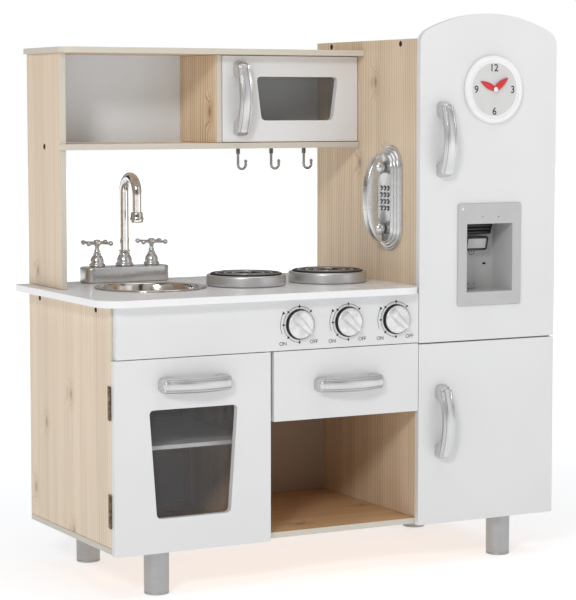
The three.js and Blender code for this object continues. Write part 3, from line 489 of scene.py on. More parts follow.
def pine(name, ground, streak, along, banded=True, gloss=0.42, shift=0.0):
    """Printed pine: growth lines that wander along the grain, soft bands of tint across it, fine
    pores and a few knots that push the lines aside."""
    finish = Finish(name, roughness=gloss, specular_ior_level=0.4)
    colours = chosen()
    offset = (shift, 1.7 * shift, 0.6 * shift)

    def scales(across, lengthwise):
        return [lengthwise if axis == along else across for axis in AXES]

    x, y, z = finish.axes()
    across = {"x": y + z, "y": x + z, "z": x + y}[along]
    lengthwise = {"x": x, "y": y, "z": z}[along]
    spot = finish.node("ShaderNodeCombineXYZ", None,
                       {0: across * 8.5 + 9.0 * shift, 1: lengthwise * 5.0 + 4.0 * shift})
    cells = {"feature": "F1", "voronoi_dimensions": "2D"}
    knot = finish.node("ShaderNodeTexVoronoi", cells, {"Vector": spot, "Scale": 1.0})
    chance = finish.node("ShaderNodeTexVoronoi", cells, {"Vector": spot, "Scale": 1.0},
                         output="Color")
    chance = finish.node("ShaderNodeSeparateColor", None, {0: chance})
    rare = chance.between(0.34, 0.36)
    heart = (1 - knot.between(0.020, 0.060)) * rare
    halo = (1 - knot.between(0.04, 0.22)) * rare
    rings = (knot * 150.0).sine().between(-0.4, 1.0) * (1 - knot.between(0.06, 0.17)) * rare
    wander = finish.noise(finish.stretched(*scales(4.0, 0.9), shift=offset), 1.0, 2.0)
    drift = finish.noise(finish.stretched(*scales(30.0, 0.7), shift=offset), 1.0, 2.0)
    line = across * 760.0 + wander * 46.0 + halo * 12.0 + drift * 5.0
    lines = line.sine().between(0.25, 1.0)
    tint = finish.noise(finish.stretched(*scales(38.0, 0.8), shift=offset), 1.0, 3.0, 0.6)
    pores = finish.noise(finish.stretched(*scales(1100.0, 22.0), shift=offset), 1.0, 2.0, 0.6)
    body = finish.mix(tint.between(0.30, 0.72), shade(ground, 1.06), shade(ground, 0.93))
    body = finish.mix(lines * (0.35 + tint.between(0.30, 0.70) * 0.55), body, streak)
    body = finish.mix(pores.between(0.50, 0.75) * 0.22, body, shade(streak, 0.95))
    body = finish.mix(rings * 0.45, body, shade(streak, 0.75))
    body = finish.mix(halo * 0.30, body, streak)
    body = finish.mix(heart * 0.60, body, shade(streak, 0.42))
    if banded:
        band = finish.mix(pores.between(0.3, 0.9) * 0.25, colours.band, shade(colours.band, 0.86))
        body = finish.mix(finish.attribute("band"), body, band)
    finish.feed("Base Color", body)
    finish.feed("Roughness", gloss - 0.05 + pores * 0.12)
    finish.relief(pores, 0.12 * MM, 0.35)
    return finish.material


def lacquer(name, ground, gloss, coat=0.0):
    """Sprayed lacquer on board: a faint roller texture, soft dullness in patches and a shade that
    drifts by a hundredth."""
    finish = Finish(name, roughness=gloss, coat_weight=coat, coat_roughness=0.12,
                    specular_ior_level=0.5)
    peel = finish.noise(finish.stretched(420.0, 420.0, 420.0), 1.0, 3.0, 0.55)
    cloud = finish.noise(finish.stretched(7.0, 7.0, 7.0), 1.0, 3.0, 0.5)
    body = finish.mix(cloud.between(0.3, 0.7), ground, shade(ground, 0.975))
    body = finish.mix(peel.between(0.45, 0.8) * 0.2, body, shade(ground, 0.96))
    finish.feed("Base Color", body)
    finish.feed("Roughness", gloss + cloud * 0.10 - 0.05 + peel * 0.03)
    finish.relief(peel, 0.05 * MM, 0.25)
    return finish.material


def painted_silver(name, ground, gloss=0.27, metal=0.85, brushed=None):
    """Silver paint on a moulding: fine flake, softer sheen in patches. Brushed gives rings or
    lines across that axis."""
    finish = Finish(name, roughness=gloss, metallic=metal)
    flake = finish.noise(finish.stretched(2600.0, 2600.0, 2600.0), 1.0, 1.0, 0.5)
    cloud = finish.noise(finish.stretched(26.0, 26.0, 26.0), 1.0, 2.0, 0.5)
    body = finish.mix(flake.between(0.35, 0.75), shade(ground, 0.90), shade(ground, 1.10))
    body = finish.mix(cloud.between(0.35, 0.7) * 0.5, body, shade(ground, 0.9))
    rough = gloss - 0.04 + cloud * 0.10 + flake * 0.04
    height = flake
    if brushed:
        scales = [3200.0 if axis == brushed else 30.0 for axis in AXES]
        lines = finish.noise(finish.stretched(*scales), 1.0, 2.0, 0.6)
        body = finish.mix(lines.between(0.4, 0.75) * 0.5, body, shade(ground, 0.82))
        rough = rough + lines * 0.12
        height = lines
    finish.feed("Base Color", body)
    finish.feed("Roughness", rough)
    finish.relief(height, 0.006 * MM, 0.3)
    return finish.material


def spun_steel(name, ground, centre):
    """Polished steel with fine rings about an upright axis: noise over the distance from it."""
    finish = Finish(name, roughness=0.13, metallic=1.0)
    x, y, z = finish.axes()
    reach = ((x - centre[0]) ** 2 + (y - centre[1]) ** 2).root()
    rings = finish.noise(finish.node("ShaderNodeCombineXYZ", None, {0: reach * 2400.0, 2: z * 1500.0}),
                         1.0, 2.0, 0.6)
    smear = finish.noise(finish.stretched(22.0, 22.0, 34.0), 1.0, 3.0, 0.55)
    body = finish.mix(smear.between(0.35, 0.7), ground, shade(ground, 0.80))
    finish.feed("Base Color", body)
    finish.feed("Roughness", 0.07 + rings * 0.09 + smear * 0.05)
    finish.relief(rings, 0.015 * MM, 0.35)
    return finish.material


def plated(name, ground, gloss=0.07):
    """Bright plating: clear reflections, slightly wavy, with a few duller specks."""
    finish = Finish(name, roughness=gloss, metallic=1.0)
    wave = finish.noise(finish.stretched(110.0, 110.0, 110.0), 1.0, 2.0, 0.5)
    speck = finish.noise(finish.stretched(900.0, 900.0, 900.0), 1.0, 2.0, 0.6)
    finish.feed("Base Color", finish.mix(wave.between(0.4, 0.7), ground, shade(ground, 0.86)))
    finish.feed("Roughness", gloss + speck.between(0.58, 0.8) * 0.18)
    finish.relief(wave, 0.12 * MM, 0.25)
    return finish.material


def moulded(name, ground, gloss, grain=0.03, fleck=0.5):
    """Moulded plastic: a fine spark-eroded grain and slight flow marks."""
    finish = Finish(name, roughness=gloss, specular_ior_level=0.5)
    fine = finish.noise(finish.stretched(1500.0, 1500.0, 1500.0), 1.0, 2.0, 0.6)
    flow = finish.noise(finish.stretched(40.0, 40.0, 16.0), 1.0, 3.0, 0.5)
    body = finish.mix(flow.between(0.3, 0.75) * fleck, ground, shade(ground, 0.90))
    finish.feed("Base Color", body)
    finish.feed("Roughness", gloss - 0.05 + flow * 0.10 + fine * 0.06)
    finish.relief(fine, grain * MM, 0.4)
    return finish.material


def pearl(name, ground):
    """Pearl plastic: a silver shimmer under a clear coat, streaked where it flowed in the mould."""
    finish = Finish(name, roughness=0.32, metallic=0.35, coat_weight=0.35, coat_roughness=0.18)
    flow = finish.noise(finish.stretched(75.0, 75.0, 75.0), 1.0, 4.0, 0.6)
    flake = finish.noise(finish.stretched(2800.0, 2800.0, 2800.0), 1.0, 1.0, 0.5)
    body = finish.mix(flow.between(0.35, 0.68), shade(ground, 1.06), shade(ground, 0.86))
    body = finish.mix(flake.between(0.5, 0.75) * 0.4, body, shade(ground, 1.2))
    finish.feed("Base Color", body)
    finish.feed("Roughness", 0.26 + flow * 0.14)
    finish.relief(flake, 0.015 * MM, 0.35)
    return finish.material


def clear_sheet(name):
    """A clear, slightly smoky sheet with fine scratches."""
    finish = Finish(name, roughness=0.05, base_color=(0.20, 0.21, 0.22, 1), alpha=0.14,
                    specular_ior_level=0.5)
    scratch = finish.noise(finish.stretched(60.0, 60.0, 1400.0), 1.0, 2.0, 0.6)
    haze = finish.noise(finish.stretched(14.0, 14.0, 14.0), 1.0, 3.0, 0.5)
    finish.feed("Roughness", 0.03 + scratch.between(0.6, 0.85) * 0.12 + haze * 0.04)
    finish.feed("Alpha", 0.10 + haze * 0.08)
    finish.material.surface_render_method = "BLENDED"
    return finish.material


def bronzed(name, ground):
    """Bronzed steel, rubbed brighter in places."""
    finish = Finish(name, roughness=0.42, metallic=0.9)
    rub = finish.noise(finish.stretched(160.0, 160.0, 160.0), 1.0, 4.0, 0.65)
    body = finish.mix(rub.between(0.42, 0.70), ground, shade(ground, 3.2))
    finish.feed("Base Color", body)
    finish.feed("Roughness", 0.60 - rub * 0.30)
    finish.relief(rub, 0.06 * MM, 0.5)
    return finish.material


def printed(name, ground, gloss=0.45):
    """Printing ink: solid, with slightly uneven cover."""
    finish = Finish(name, roughness=gloss)
    cover = finish.noise(finish.stretched(1100.0, 1100.0, 1100.0), 1.0, 2.0, 0.6)
    finish.feed("Base Color", finish.mix(cover.between(0.5, 0.85), ground, shade(ground, 2.4)))
    finish.feed("Roughness", gloss + cover * 0.1)
    return finish.material


def finish_for(kind):
    """The kitchen's finishes by name."""
    tone = {key: tuple(getattr(chosen(), key)) for key in PlayKitchenColours.__annotations__}
    makers = {
        "pale pine upright": lambda name: pine(name, tone["pine"], tone["pine_streak"], "z"),
        "pale pine lengthwise": lambda name: pine(
            name, tone["pine"], tone["pine_streak"], "x", shift=3.1),
        # The fridge side panels get a darker, more saturated copy of the pale pine: painted shade.
        "shaded pine upright": lambda name: pine(
            name, (0.730, 0.590, 0.430), shade(tone["pine_streak"], 0.84), "z", shift=1.3),
        # The shelf divider gets a brighter, warmer copy of the pine: partly its own warmer tone, partly
        # painted light where the lamps fall into the open shelf.
        "honey pine upright": lambda name: pine(
            name, (0.860, 0.690, 0.480), tone["warm_streak"], "z", shift=2.2),
        "warm pine upright": lambda name: pine(
            name, tone["warm_pine"], tone["warm_streak"], "z", shift=5.3),
        "warm pine lengthwise": lambda name: pine(
            name, tone["warm_pine"], tone["warm_streak"], "x", shift=7.9),
        "white lacquer": lambda name: lacquer(name, tone["white"], 0.42),
        # The worktop is the white lifted by a factor of 1.12: painted light on the top that faces the
        # lamps.
        "worktop lacquer": lambda name: lacquer(name, shade(tone["white"], 1.12), 0.25, 0.25),
        "grey board": lambda name: lacquer(name, tone["grey_board"], 0.55),
        "brown board": lambda name: lacquer(name, tone["brown_board"], 0.60),
        "silver paint": lambda name: painted_silver(name, tone["silver"], 0.24, 0.9),
        "handle silver": lambda name: painted_silver(name, shade(tone["silver"], 1.02), 0.29, 0.88),
        "silver tube": lambda name: painted_silver(
            name, shade(tone["silver"], 0.72), 0.34, 0.8, brushed="z"),
        "silver ring": lambda name: painted_silver(
            name, shade(tone["silver"], 0.92), 0.30, 0.85, brushed="z"),
        "bright plating": lambda name: plated(name, tone["plate"]),
        "nickel": lambda name: plated(name, tone["nickel"], 0.22),
        "black moulding": lambda name: moulded(name, shade(tone["black"], 0.6), 0.55, 0.05, 0.9),
        "gloss black": lambda name: moulded(name, tone["black"], 0.16, 0.01, 0.6),
        # Dispenser moulding: partly its own grey, darkened further as painted shade in the recess.
        "dispenser moulding": lambda name: moulded(name, tone["dispenser"], 0.48, 0.03, 0.35),
        "white moulding": lambda name: moulded(name, (0.83, 0.83, 0.83), 0.28, 0.01, 0.2),
        "dial grey": lambda name: moulded(name, tone["dial"], 0.50, 0.02, 0.5),
        "pearl moulding": lambda name: pearl(name, tone["pearl"]),
        "red moulding": lambda name: moulded(name, tone["red"], 0.35, 0.01, 0.6),
        "black ink": lambda name: printed(name, tone["black"]),
        # Near-black for holes, knuckle gaps and button wells: painted shade inside them.
        "dark hole": lambda name: printed(name, (0.018, 0.013, 0.010), 0.9),
        "bronze": lambda name: bronzed(name, tone["bronze"]),
        "clear sheet": clear_sheet,
    }
    return kept(kind, makers[kind])


# ------------------------------------------------------------------ places

def corners(node):
    """Lowest and highest corner of a node of the frame."""
    return tuple(np.array(corner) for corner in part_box(node))


def middle(node):
    low, high = corners(node)
    return (low + high) / 2


def sizes():
    return bpy.context.scene.play_kitchen_sizes


# ------------------------------------------------------------------ boards and fronts

UPRIGHT_PINE = ("left_side_panel", "shelf_post")
LENGTHWISE_PINE = ("shelf_top_board", "shelf_bottom_board")
UPRIGHT_WARM = ("oven_divider_panel",)
LENGTHWISE_WARM = (
    "bottom_board", "niche_ceiling_board", "fridge_top_board", "fridge_shelf", "drawer_box")
GREY_BOARDS = ("shelf_back_panel", "fridge_back_panel")
# Fridge side panels in the darker copy of the pale pine: painted shade.
PINE_WITH_PAINTED_SHADE = ("fridge_left_panel", "fridge_right_panel")
LACQUERED = {
    "control_panel": "carcass", "oven_shelf": "carcass", "oven_door": "oven_door_leaf",
    "microwave_door": "microwave_door_leaf", "fridge_upper_door": "fridge_upper_leaf",
    "fridge_lower_door": "fridge_lower_leaf", "drawer_front": "drawer",
}


class KITCHEN_OT_boards(bpy.types.Operator):
    """Boards of the carcass and of the open shelf, with soft edges and printed pine"""

    bl_idname = "kitchen.boards"
    bl_label = "Boards"

    def execute(self, context):
        edge = sizes().edge_softness
        groups = (
            (UPRIGHT_PINE, "pale pine upright", "side_pine"),
            (LENGTHWISE_PINE, "pale pine lengthwise", "side_pine"),
            (UPRIGHT_WARM, "warm pine upright", "inner_pine"),
            (LENGTHWISE_WARM, "warm pine lengthwise", "inner_pine"),
            (PINE_WITH_PAINTED_SHADE, "shaded pine upright", "side_pine"),
            # Shelf divider in the brighter, warmer pine: partly its own tone, partly painted light.
            (("shelf_divider",), "honey pine upright", "side_pine"),
            (GREY_BOARDS, "grey board", "grey_board"),
            (("lower_back_panel",), "brown board", "inner_pine"),
        )
        for nodes, kind, slot in groups:
            for node in nodes:
                body = "drawer" if node == "drawer_box" else "carcass"
                softened(node, finish_for(kind), body, edge)
        return {"FINISHED"}


class KITCHEN_OT_fronts(bpy.types.Operator):
    """Lacquered doors, drawer front, control panel and worktop"""

    bl_idname = "kitchen.fronts"
    bl_label = "Fronts"

    def execute(self, context):
        edge = sizes().edge_softness
        for node, body in LACQUERED.items():
            softened(node, finish_for("white lacquer"), body, edge)
        # The worktop takes the brighter copy of the white lacquer: painted light.
        softened("countertop", finish_for("worktop lacquer"), "carcass", 2 * edge)
        return {"FINISHED"}


class KITCHEN_OT_windows(bpy.types.Operator):
    """Clear panes behind the window openings of the oven and of the microwave"""

    bl_idname = "kitchen.windows"
    bl_label = "Windows"

    def execute(self, context):
        for node, body in (("oven_window", "oven_door_leaf"),
                           ("microwave_window", "microwave_door_leaf")):
            softened(node, finish_for("clear sheet"), body, 0.3 * MM)
        return {"FINISHED"}


# ------------------------------------------------------------------ handles

HANDLES = {
    "oven_handle": "oven_door_leaf", "drawer_handle": "drawer",
    "fridge_upper_handle": "fridge_upper_leaf", "fridge_lower_handle": "fridge_lower_leaf",
    "microwave_handle": "microwave_door_leaf",
}


def handle_grid(half, half_width, reach, band, groove):
    """A bow handle in (along, across, out). Along it the outer side is a parabola between two
    superellipse ends, the inner side is the door under the feet and a flatter parabola between
    them. Across it the outer side has a smooth band, two grooves and a rib on each side."""
    soft, foot, bar, step = 10 * MM, 23 * MM, 9 * MM, 2.5 * MM
    shoulder = 0.64 * reach
    inner = half - foot
    end = (half - soft) + soft * np.sin(np.linspace(0, pi / 2, 10))
    side = np.concatenate([
        np.linspace(0, inner - step, 14), np.linspace(inner - step, inner, 6)[1:],
        np.linspace(inner, half - soft, 5)[1:], end[1:]])
    along = np.concatenate([-side[:0:-1], side])
    reach_along = np.abs(along)
    t = np.clip((reach_along - (half - soft)) / soft, 0, 1)
    bow = shoulder + (reach - shoulder) * (1 - (along / (half - soft)) ** 2)
    outer = np.where(t > 0, shoulder * (1 - t ** 2.6) ** (1 / 2.6), bow)
    rise = np.clip((inner - reach_along) / step, 0, 1)
    under = (shoulder - bar) + (reach - shoulder) * (1 - (along / inner) ** 2)
    inside = under * rise * rise * (3 - 2 * rise)
    narrow = 1 - 0.5 * t ** 3

    wall = half_width
    ribs = np.array([
        [0.0, 0.0], [0.5 * band, 0.05], [0.85 * band, 0.30], [band, 0.75], [band + 0.6 * MM, 1.9],
        [band + 1.2 * MM, 1.4], [band + 2.2 * MM, 1.1], [band + 3.2 * MM, 1.5],
        [band + 3.8 * MM, 2.4], [band + 4.4 * MM, 2.1], [wall - 0.9 * MM, 2.9],
        [wall - 0.25 * MM, 4.0], [wall, 5.4]])
    ribs[:, 1] *= groove
    across = np.concatenate([-ribs[:0:-1, 0], ribs[:, 0]])
    drop = np.concatenate([ribs[:0:-1, 1], ribs[:, 1]])
    top = np.maximum(outer[:, None] - drop, inside[:, None])
    rim = np.array([wall, wall - 0.5 * MM, wall - 2 * MM, 0, -wall + 2 * MM, -wall + 0.5 * MM, -wall])
    lift = np.array([2.2, 0.7, 0, 0, 0, 0.7, 2.2]) * MM
    low = np.minimum(inside[:, None] + lift, np.maximum(outer[:, None] - groove, inside[:, None]))
    width = np.concatenate([across, rim])[None] * narrow[:, None]
    out = np.concatenate([top, low], axis=1)
    return capped(np.stack([np.repeat(along[:, None], width.shape[1], axis=1), width, out], axis=-1))


class KITCHEN_OT_handles(bpy.types.Operator):
    """Bow handles with grooved bars on the doors and the drawer"""

    bl_idname = "kitchen.handles"
    bl_label = "Handles"

    def execute(self, context):
        for node, body in HANDLES.items():
            low, high = corners(node)
            span = high - low
            upright = span[2] > span[0]
            half, half_width = (span[2] / 2, span[0] / 2) if upright else (span[0] / 2, span[2] / 2)
            grid = handle_grid(half, half_width, span[1], sizes().handle_band, sizes().handle_groove)
            centre = middle(node)
            centre[1] = high[1]
            axes = (UP, RIGHT) if upright else (RIGHT, UP)
            add_piece(node + "_bow", [placed(grid, centre, *axes, OUT)],
                      finish_for("handle silver"), body, (node,))
        return {"FINISHED"}


# ------------------------------------------------------------------ knobs and their dials

KNOBS = {"knob_left": "left_knob", "knob_middle": "middle_knob", "knob_right": "right_knob"}
OFF_ANGLE = radians(-45)


def direction(angle):
    """A direction in the front's plane, counted from the right towards the top."""
    return RIGHT * cos(angle) + UP * sin(angle)


def knob_grids(radius, depth):
    """A round disc with an eased rim and a tapering grip, stacked rounded outlines narrowed
    towards the pointing end by a share of x."""
    rim = 9 * MM
    disc = turned(eased([
        [0, 0], [radius, 0], [radius, 0.5 * rim], [radius - 0.8 * MM, 0.85 * rim],
        [radius - 4 * MM, rim], [0.5 * radius, rim], [0, 0.93 * rim]]), sides=64)
    half = radius - 2.5 * MM
    levels = [(0.5 * rim, -0.6 * MM), (rim, -0.5 * MM), (rim + 1.2 * MM, 0.1 * MM),
              (depth - 2.4 * MM, 0.5 * MM), (depth - 0.9 * MM, 1.3 * MM), (depth - 0.2 * MM, 2.6 * MM),
              (depth, 4.0 * MM)]
    grip = stacked(levels, half, 6.0 * MM, 6.0 * MM, steps=10)
    grip[..., 1] *= 1 - 0.30 * grip[..., 0] / half
    return disc, grip


def arc_path(radius, start, stop, steps=40):
    """Points of an arc in the front's plane."""
    angle = np.linspace(start, stop, steps)[:, None]
    return radius * (np.cos(angle) * RIGHT + np.sin(angle) * UP)


class KITCHEN_OT_knobs(bpy.types.Operator):
    """Oven knobs and the dials printed behind them"""

    bl_idname = "kitchen.knobs"
    bl_label = "Knobs"

    def execute(self, context):
        for node, body in KNOBS.items():
            low, high = corners(node)
            centre = middle(node)
            centre[1] = high[1]
            radius = (high[0] - low[0]) / 2
            disc, grip = knob_grids(radius, high[1] - low[1])
            point = direction(OFF_ANGLE)
            across = direction(OFF_ANGLE + pi / 2)
            grids = [placed(disc, centre, RIGHT, UP, OUT), placed(grip, centre, point, across, OUT)]
            add_piece(node + "_turned", grids, finish_for("pearl moulding"), body,
                      (node,))
            skirt = turned([[0, 0], [radius + 0.5 * MM, 0], [radius + 0.5 * MM, 5.5 * MM],
                            [radius - 0.6 * MM, 6.2 * MM], [0, 6.2 * MM]], 64)
            add_piece(node + "_skirt", [placed(skirt, centre, RIGHT, UP, OUT)],
                      finish_for("black moulding"), body)
            self.add_dial(node, centre, radius)
        return {"FINISHED"}

    def add_dial(self, node, centre, radius):
        depth = sizes().print_depth
        centre = np.array([centre[0], corners("control_panel")[0][1] - depth / 2, centre[2]])
        reach = radius + sizes().dial_scale
        flat = np.array([[0.38, -0.5], [0.38, 0.5], [-0.38, 0.5], [-0.38, -0.5]]) * [MM, depth]
        ring = placed(prism(circle(radius + sizes().dial_ring, 72), -depth / 2, depth / 2),
                      centre, RIGHT, UP, OUT)
        grids = [ring, swept(arc_path(reach, radians(52), radians(270), 60), OUT, flat) + centre,
                 swept(arc_path(reach + 6 * MM, radians(144), radians(204)), OUT, flat) + centre]
        diamond = np.array([[3.0, 0], [0, 2.1], [-3.0, 0], [0, -2.1]]) * MM
        for tick in (45, 90, 135, 180, 225, 270):
            grids.append(placed(prism(diamond, -depth / 2, depth / 2),
                                centre + reach * direction(radians(tick)),
                                direction(radians(tick)), direction(radians(tick + 90)), OUT))
        arrow = np.array([[0, 3.0], [-6.0, 0], [0, -3.0]]) * MM
        grids.append(placed(prism(arrow, -depth / 2, depth / 2),
                            centre + (reach + 6 * MM) * direction(radians(144)),
                            direction(radians(54)), direction(radians(144)), OUT))
        add_piece(node + "_dial", grids, finish_for("black ink"), "carcass")
        for word, across, up in (("ON", -31.5, -31), ("OFF", 27, -30)):
            place = centre + across * MM * RIGHT + up * MM * UP
            mesh = lettering(word, 6.2 * MM, place, RIGHT, UP, depth, 0.06 * MM)
            finish_piece(f"{node}_{word.lower()}_mark", mesh, finish_for("black ink"),
                         "carcass")


# ------------------------------------------------------------------ sink and taps

class KITCHEN_OT_sink(bpy.types.Operator):
    """Round steel bowl with a flat rim"""

    bl_idname = "kitchen.sink"
    bl_label = "Sink"

    def execute(self, context):
        low, high = corners("sink_bowl")
        centre = middle("sink_bowl")
        radius = (high[0] - low[0]) / 2
        counter = corners("countertop")[1][2]
        bowl, depth = radius - 11 * MM, high[2] - low[2]
        outer = eased([
            [0, low[2]], [0.64 * bowl, low[2]], [bowl - 8 * MM, low[2] + 0.22 * depth],
            [bowl, counter], [bowl + 2 * MM, counter + 0.3 * MM], [radius - 1 * MM, counter + 0.3 * MM],
            [radius, counter + 0.6 * MM]])
        inner = eased([
            [radius, counter + 0.8 * MM], [radius - 0.6 * MM, high[2] - 0.6 * MM],
            [radius - 3.5 * MM, high[2]], [bowl + 3 * MM, high[2] - 0.5 * MM],
            [bowl - 1.2 * MM, high[2] - 1.2 * MM], [bowl - 4 * MM, counter - 6 * MM],
            [bowl - 10 * MM, low[2] + 0.24 * depth], [0.62 * bowl, low[2] + 1.2 * MM],
            [0.3 * bowl, low[2] + 1.5 * MM], [0, low[2] + 1.6 * MM]])
        grid = turned(np.concatenate([outer, inner]), sides=128) + [centre[0], centre[1], 0]
        finish = kept("spun steel", lambda name: spun_steel(name, tuple(chosen().steel), centre))
        add_piece("sink_bowl_spun", [grid], finish, "sink_insert", ("sink_bowl",))
        return {"FINISHED"}


def bell(radius, neck, height):
    """A turned foot: a flat ring, a hollow shoulder and a collar under the neck."""
    return eased([
        [0, 0], [radius, 0], [radius, 0.12 * height], [0.96 * radius, 0.20 * height],
        [0.82 * radius, 0.24 * height], [0.84 * radius, 0.44 * height], [0.70 * radius, 0.70 * height],
        [neck + 0.6 * MM, 0.84 * height], [neck + 1.4 * MM, 0.90 * height],
        [neck + 1.2 * MM, height], [0, height]], steps=5)


class KITCHEN_OT_faucet(bpy.types.Operator):
    """Tap block with a swivelling spout and two cross taps"""

    bl_idname = "kitchen.faucet"
    bl_label = "Faucet"

    def execute(self, context):
        silver = finish_for("silver paint")
        low, high = corners("faucet_base")
        centre = middle("faucet_base")
        foot = corners("faucet_spout")[0][2]
        bell_height = 24 * MM
        block = high[2] - low[2] - bell_height
        grids = [stacked(rounded_levels(0, block, 3 * MM), (high[0] - low[0]) / 2,
                         (high[1] - low[1]) / 2, 15 * MM) + [centre[0], centre[1], low[2]]]
        spout_low, spout_high = corners("faucet_spout")
        nozzle = (spout_high[0] - spout_low[0]) / 2
        tube = 0.71 * nozzle
        spots = {node: middle(node) for node in ("tap_left", "tap_right")}
        base_top = low[2] + block
        grids.append(turned(bell(16 * MM, tube, bell_height)) + [centre[0], centre[1], base_top])
        for spot in spots.values():
            grids.append(turned(bell(14 * MM, 6 * MM, bell_height)) + [spot[0], spot[1], base_top])
        add_piece("faucet_block", grids, silver, "carcass", ("faucet_base",))
        self.add_spout(spout_low, spout_high, nozzle, tube)
        for node, body in (("tap_left", "left_tap"), ("tap_right", "right_tap")):
            self.add_tap(node, body, silver)
        return {"FINISHED"}

    def add_spout(self, low, high, nozzle, tube):
        """The neck goes straight up, half round and down with one radius all along; a turned collar rings
        its foot and a turned head its outlet."""
        x, foot_y, outlet_y = (low[0] + high[0]) / 2, high[1] - tube, low[1] + nozzle
        bend = (foot_y - outlet_y) / 2
        top = high[2] - tube - bend
        angle = np.linspace(0, pi, 40)
        rise = np.linspace(low[2] + 0.4 * MM, top, 30)[:-1]
        outlet = top - 34 * MM
        fall = np.linspace(top, outlet, 10)[1:]
        y = np.concatenate([np.full(len(rise), foot_y), foot_y - bend + bend * np.cos(angle),
                            np.full(len(fall), outlet_y)])
        z = np.concatenate([rise, top + bend * np.sin(angle), fall])
        path = np.column_stack([np.full(len(y), x), y, z])
        neck = swept(path, RIGHT, circle(tube, 32))
        ring = np.array([[0, 0], [tube + 1.6 * MM, 0], [tube + 2.2 * MM, 2 * MM],
                         [tube + 1.6 * MM, 4 * MM], [0, 4 * MM]])
        collar = turned(eased(ring), 40) + [x, foot_y, low[2]]
        end = outlet + 2 * MM
        head = eased([
            [0, end - 19 * MM], [nozzle - 1.5 * MM, end - 19 * MM], [nozzle, end - 18 * MM],
            [nozzle, end - 11 * MM], [nozzle - 1.2 * MM, end - 10 * MM], [nozzle - 1.4 * MM, end - 6 * MM],
            [tube + 1.6 * MM, end - 2 * MM], [tube + 0.2 * MM, end], [0, end]], steps=4)
        head = turned(head, 48) + [x, outlet_y, 0]
        add_piece("spout_neck", [neck, collar, head], finish_for("bright plating"), "spout",
                  ("faucet_spout",))

    def add_tap(self, node, body, finish):
        low, high = corners(node)
        centre = middle(node)
        arm, turn = 28 * MM, radians(36)
        hub = low[2] + 17 * MM
        stem = turned(eased([
            [0, low[2]], [5 * MM, low[2]], [5.6 * MM, low[2] + 2 * MM], [3.6 * MM, low[2] + 6 * MM],
            [4.2 * MM, hub - 6 * MM], [6.5 * MM, hub - 3 * MM], [6.8 * MM, hub + 2 * MM],
            [5.2 * MM, high[2] - 1 * MM], [2.4 * MM, high[2]], [0, high[2]]]), 32)
        grids = [stem + [centre[0], centre[1], 0]]
        along = np.linspace(0, 1, 26)
        swell = 2.5 * MM + 1.1 * MM * np.exp(-((along - 0.22) / 0.07) ** 2)
        neck = np.column_stack([swell, along * (arm - 3 * MM)])
        neck = np.concatenate([[[0, 0]], neck, [[0, arm - 3 * MM]]])
        for quarter in range(4):
            way = direction(0) * cos(turn + quarter * pi / 2) + BACK * sin(turn + quarter * pi / 2)
            across = np.cross(UP, way)
            spot = np.array([centre[0], centre[1], hub])
            grids.append(placed(turned(neck, 16), spot, across, UP, way))
            grids.append(ball(4.5 * MM, spot + way * arm, 12, 18))
        add_piece(node + "_cross", grids, finish, body, (node,))


# ------------------------------------------------------------------ hob

class KITCHEN_OT_hob(bpy.types.Operator):
    """Two hot plates: a stepped silver ring with a flat black spiral in it"""

    bl_idname = "kitchen.hob"
    bl_label = "Hob"

    def execute(self, context):
        for side in ("left", "right"):
            node, coil = f"burner_{side}", f"coil_{side}"
            low, high = corners(node)
            centre = middle(node)
            radius, height = (high[0] - low[0]) / 2, high[2] - low[2]
            floor = corners(coil)[0][2] - low[2]
            inner = radius - 7 * MM
            profile = eased([
                [0, 0], [radius - 1.2 * MM, 0], [radius - 1.2 * MM, 1.6 * MM], [radius, 2.2 * MM],
                [radius, height - 4.5 * MM], [radius - 0.6 * MM, height - 1.6 * MM],
                [radius - 2.2 * MM, height - 0.1 * MM], [radius - 4 * MM, height],
                [inner, height - 0.4 * MM], [inner - 0.6 * MM, height - 1.4 * MM],
                [inner - 0.8 * MM, floor], [0.6 * inner, floor - 0.3 * MM], [0, floor - 0.3 * MM]])
            grid = turned(profile, 120) + [centre[0], centre[1], low[2]]
            add_piece(node + "_ring", [grid], finish_for("silver ring"), "carcass",
                      (node,))
            self.add_spiral(coil)
        return {"FINISHED"}

    def add_spiral(self, node):
        """An evenly opening spiral, r = a + b t, with a flat section whose corners are round."""
        low, high = corners(node)
        centre = middle("burner_left" if node.endswith("left") else "burner_right")
        eye, reach, turns = 12 * MM, 57.0 * MM, 4.2
        t = np.linspace(0, 1, 300)
        angle = t * turns * 2 * pi + 0.6
        radius = np.minimum(eye + (reach - eye) * t * turns / (turns - 1), reach)
        level = (low[2] + high[2]) / 2
        path = np.column_stack([radius * np.cos(angle), radius * np.sin(angle), 0 * t])
        path += [centre[0], centre[1], level]
        half = (high[2] - low[2]) / 2
        section = outline(4.6 * MM, half, 1.6 * MM, steps=4)
        fade = np.minimum(1, np.minimum(t, 1 - t) / 0.012) ** 0.5
        grids = [swept(path, UP, section, np.maximum(fade, 0.02))]
        hub = turned(eased([[0, -half], [9 * MM, -half], [9 * MM, 0.4 * half], [6 * MM, half],
                            [0, half]]), 40)
        grids.append(hub + [centre[0], centre[1], level])
        add_piece(node + "_spiral", grids, finish_for("black moulding"), "carcass",
                  (node,))
        inner = radius < reach - 0.1 * MM
        pitch = (reach - eye) / (turns - 1)
        between = (radius + pitch / 2)[inner, None]
        line = between * np.stack([np.cos(angle), np.sin(angle), 0 * t], axis=-1)[inner]
        line += [centre[0], centre[1], level + 0.55 * half]
        seam = outline(1.3 * MM, 0.5 * half, 0.6 * MM, steps=3)
        add_piece(node + "_seam", [swept(line, UP, seam)], finish_for("silver ring"), "carcass")


# ------------------------------------------------------------------ hooks, legs, hinges

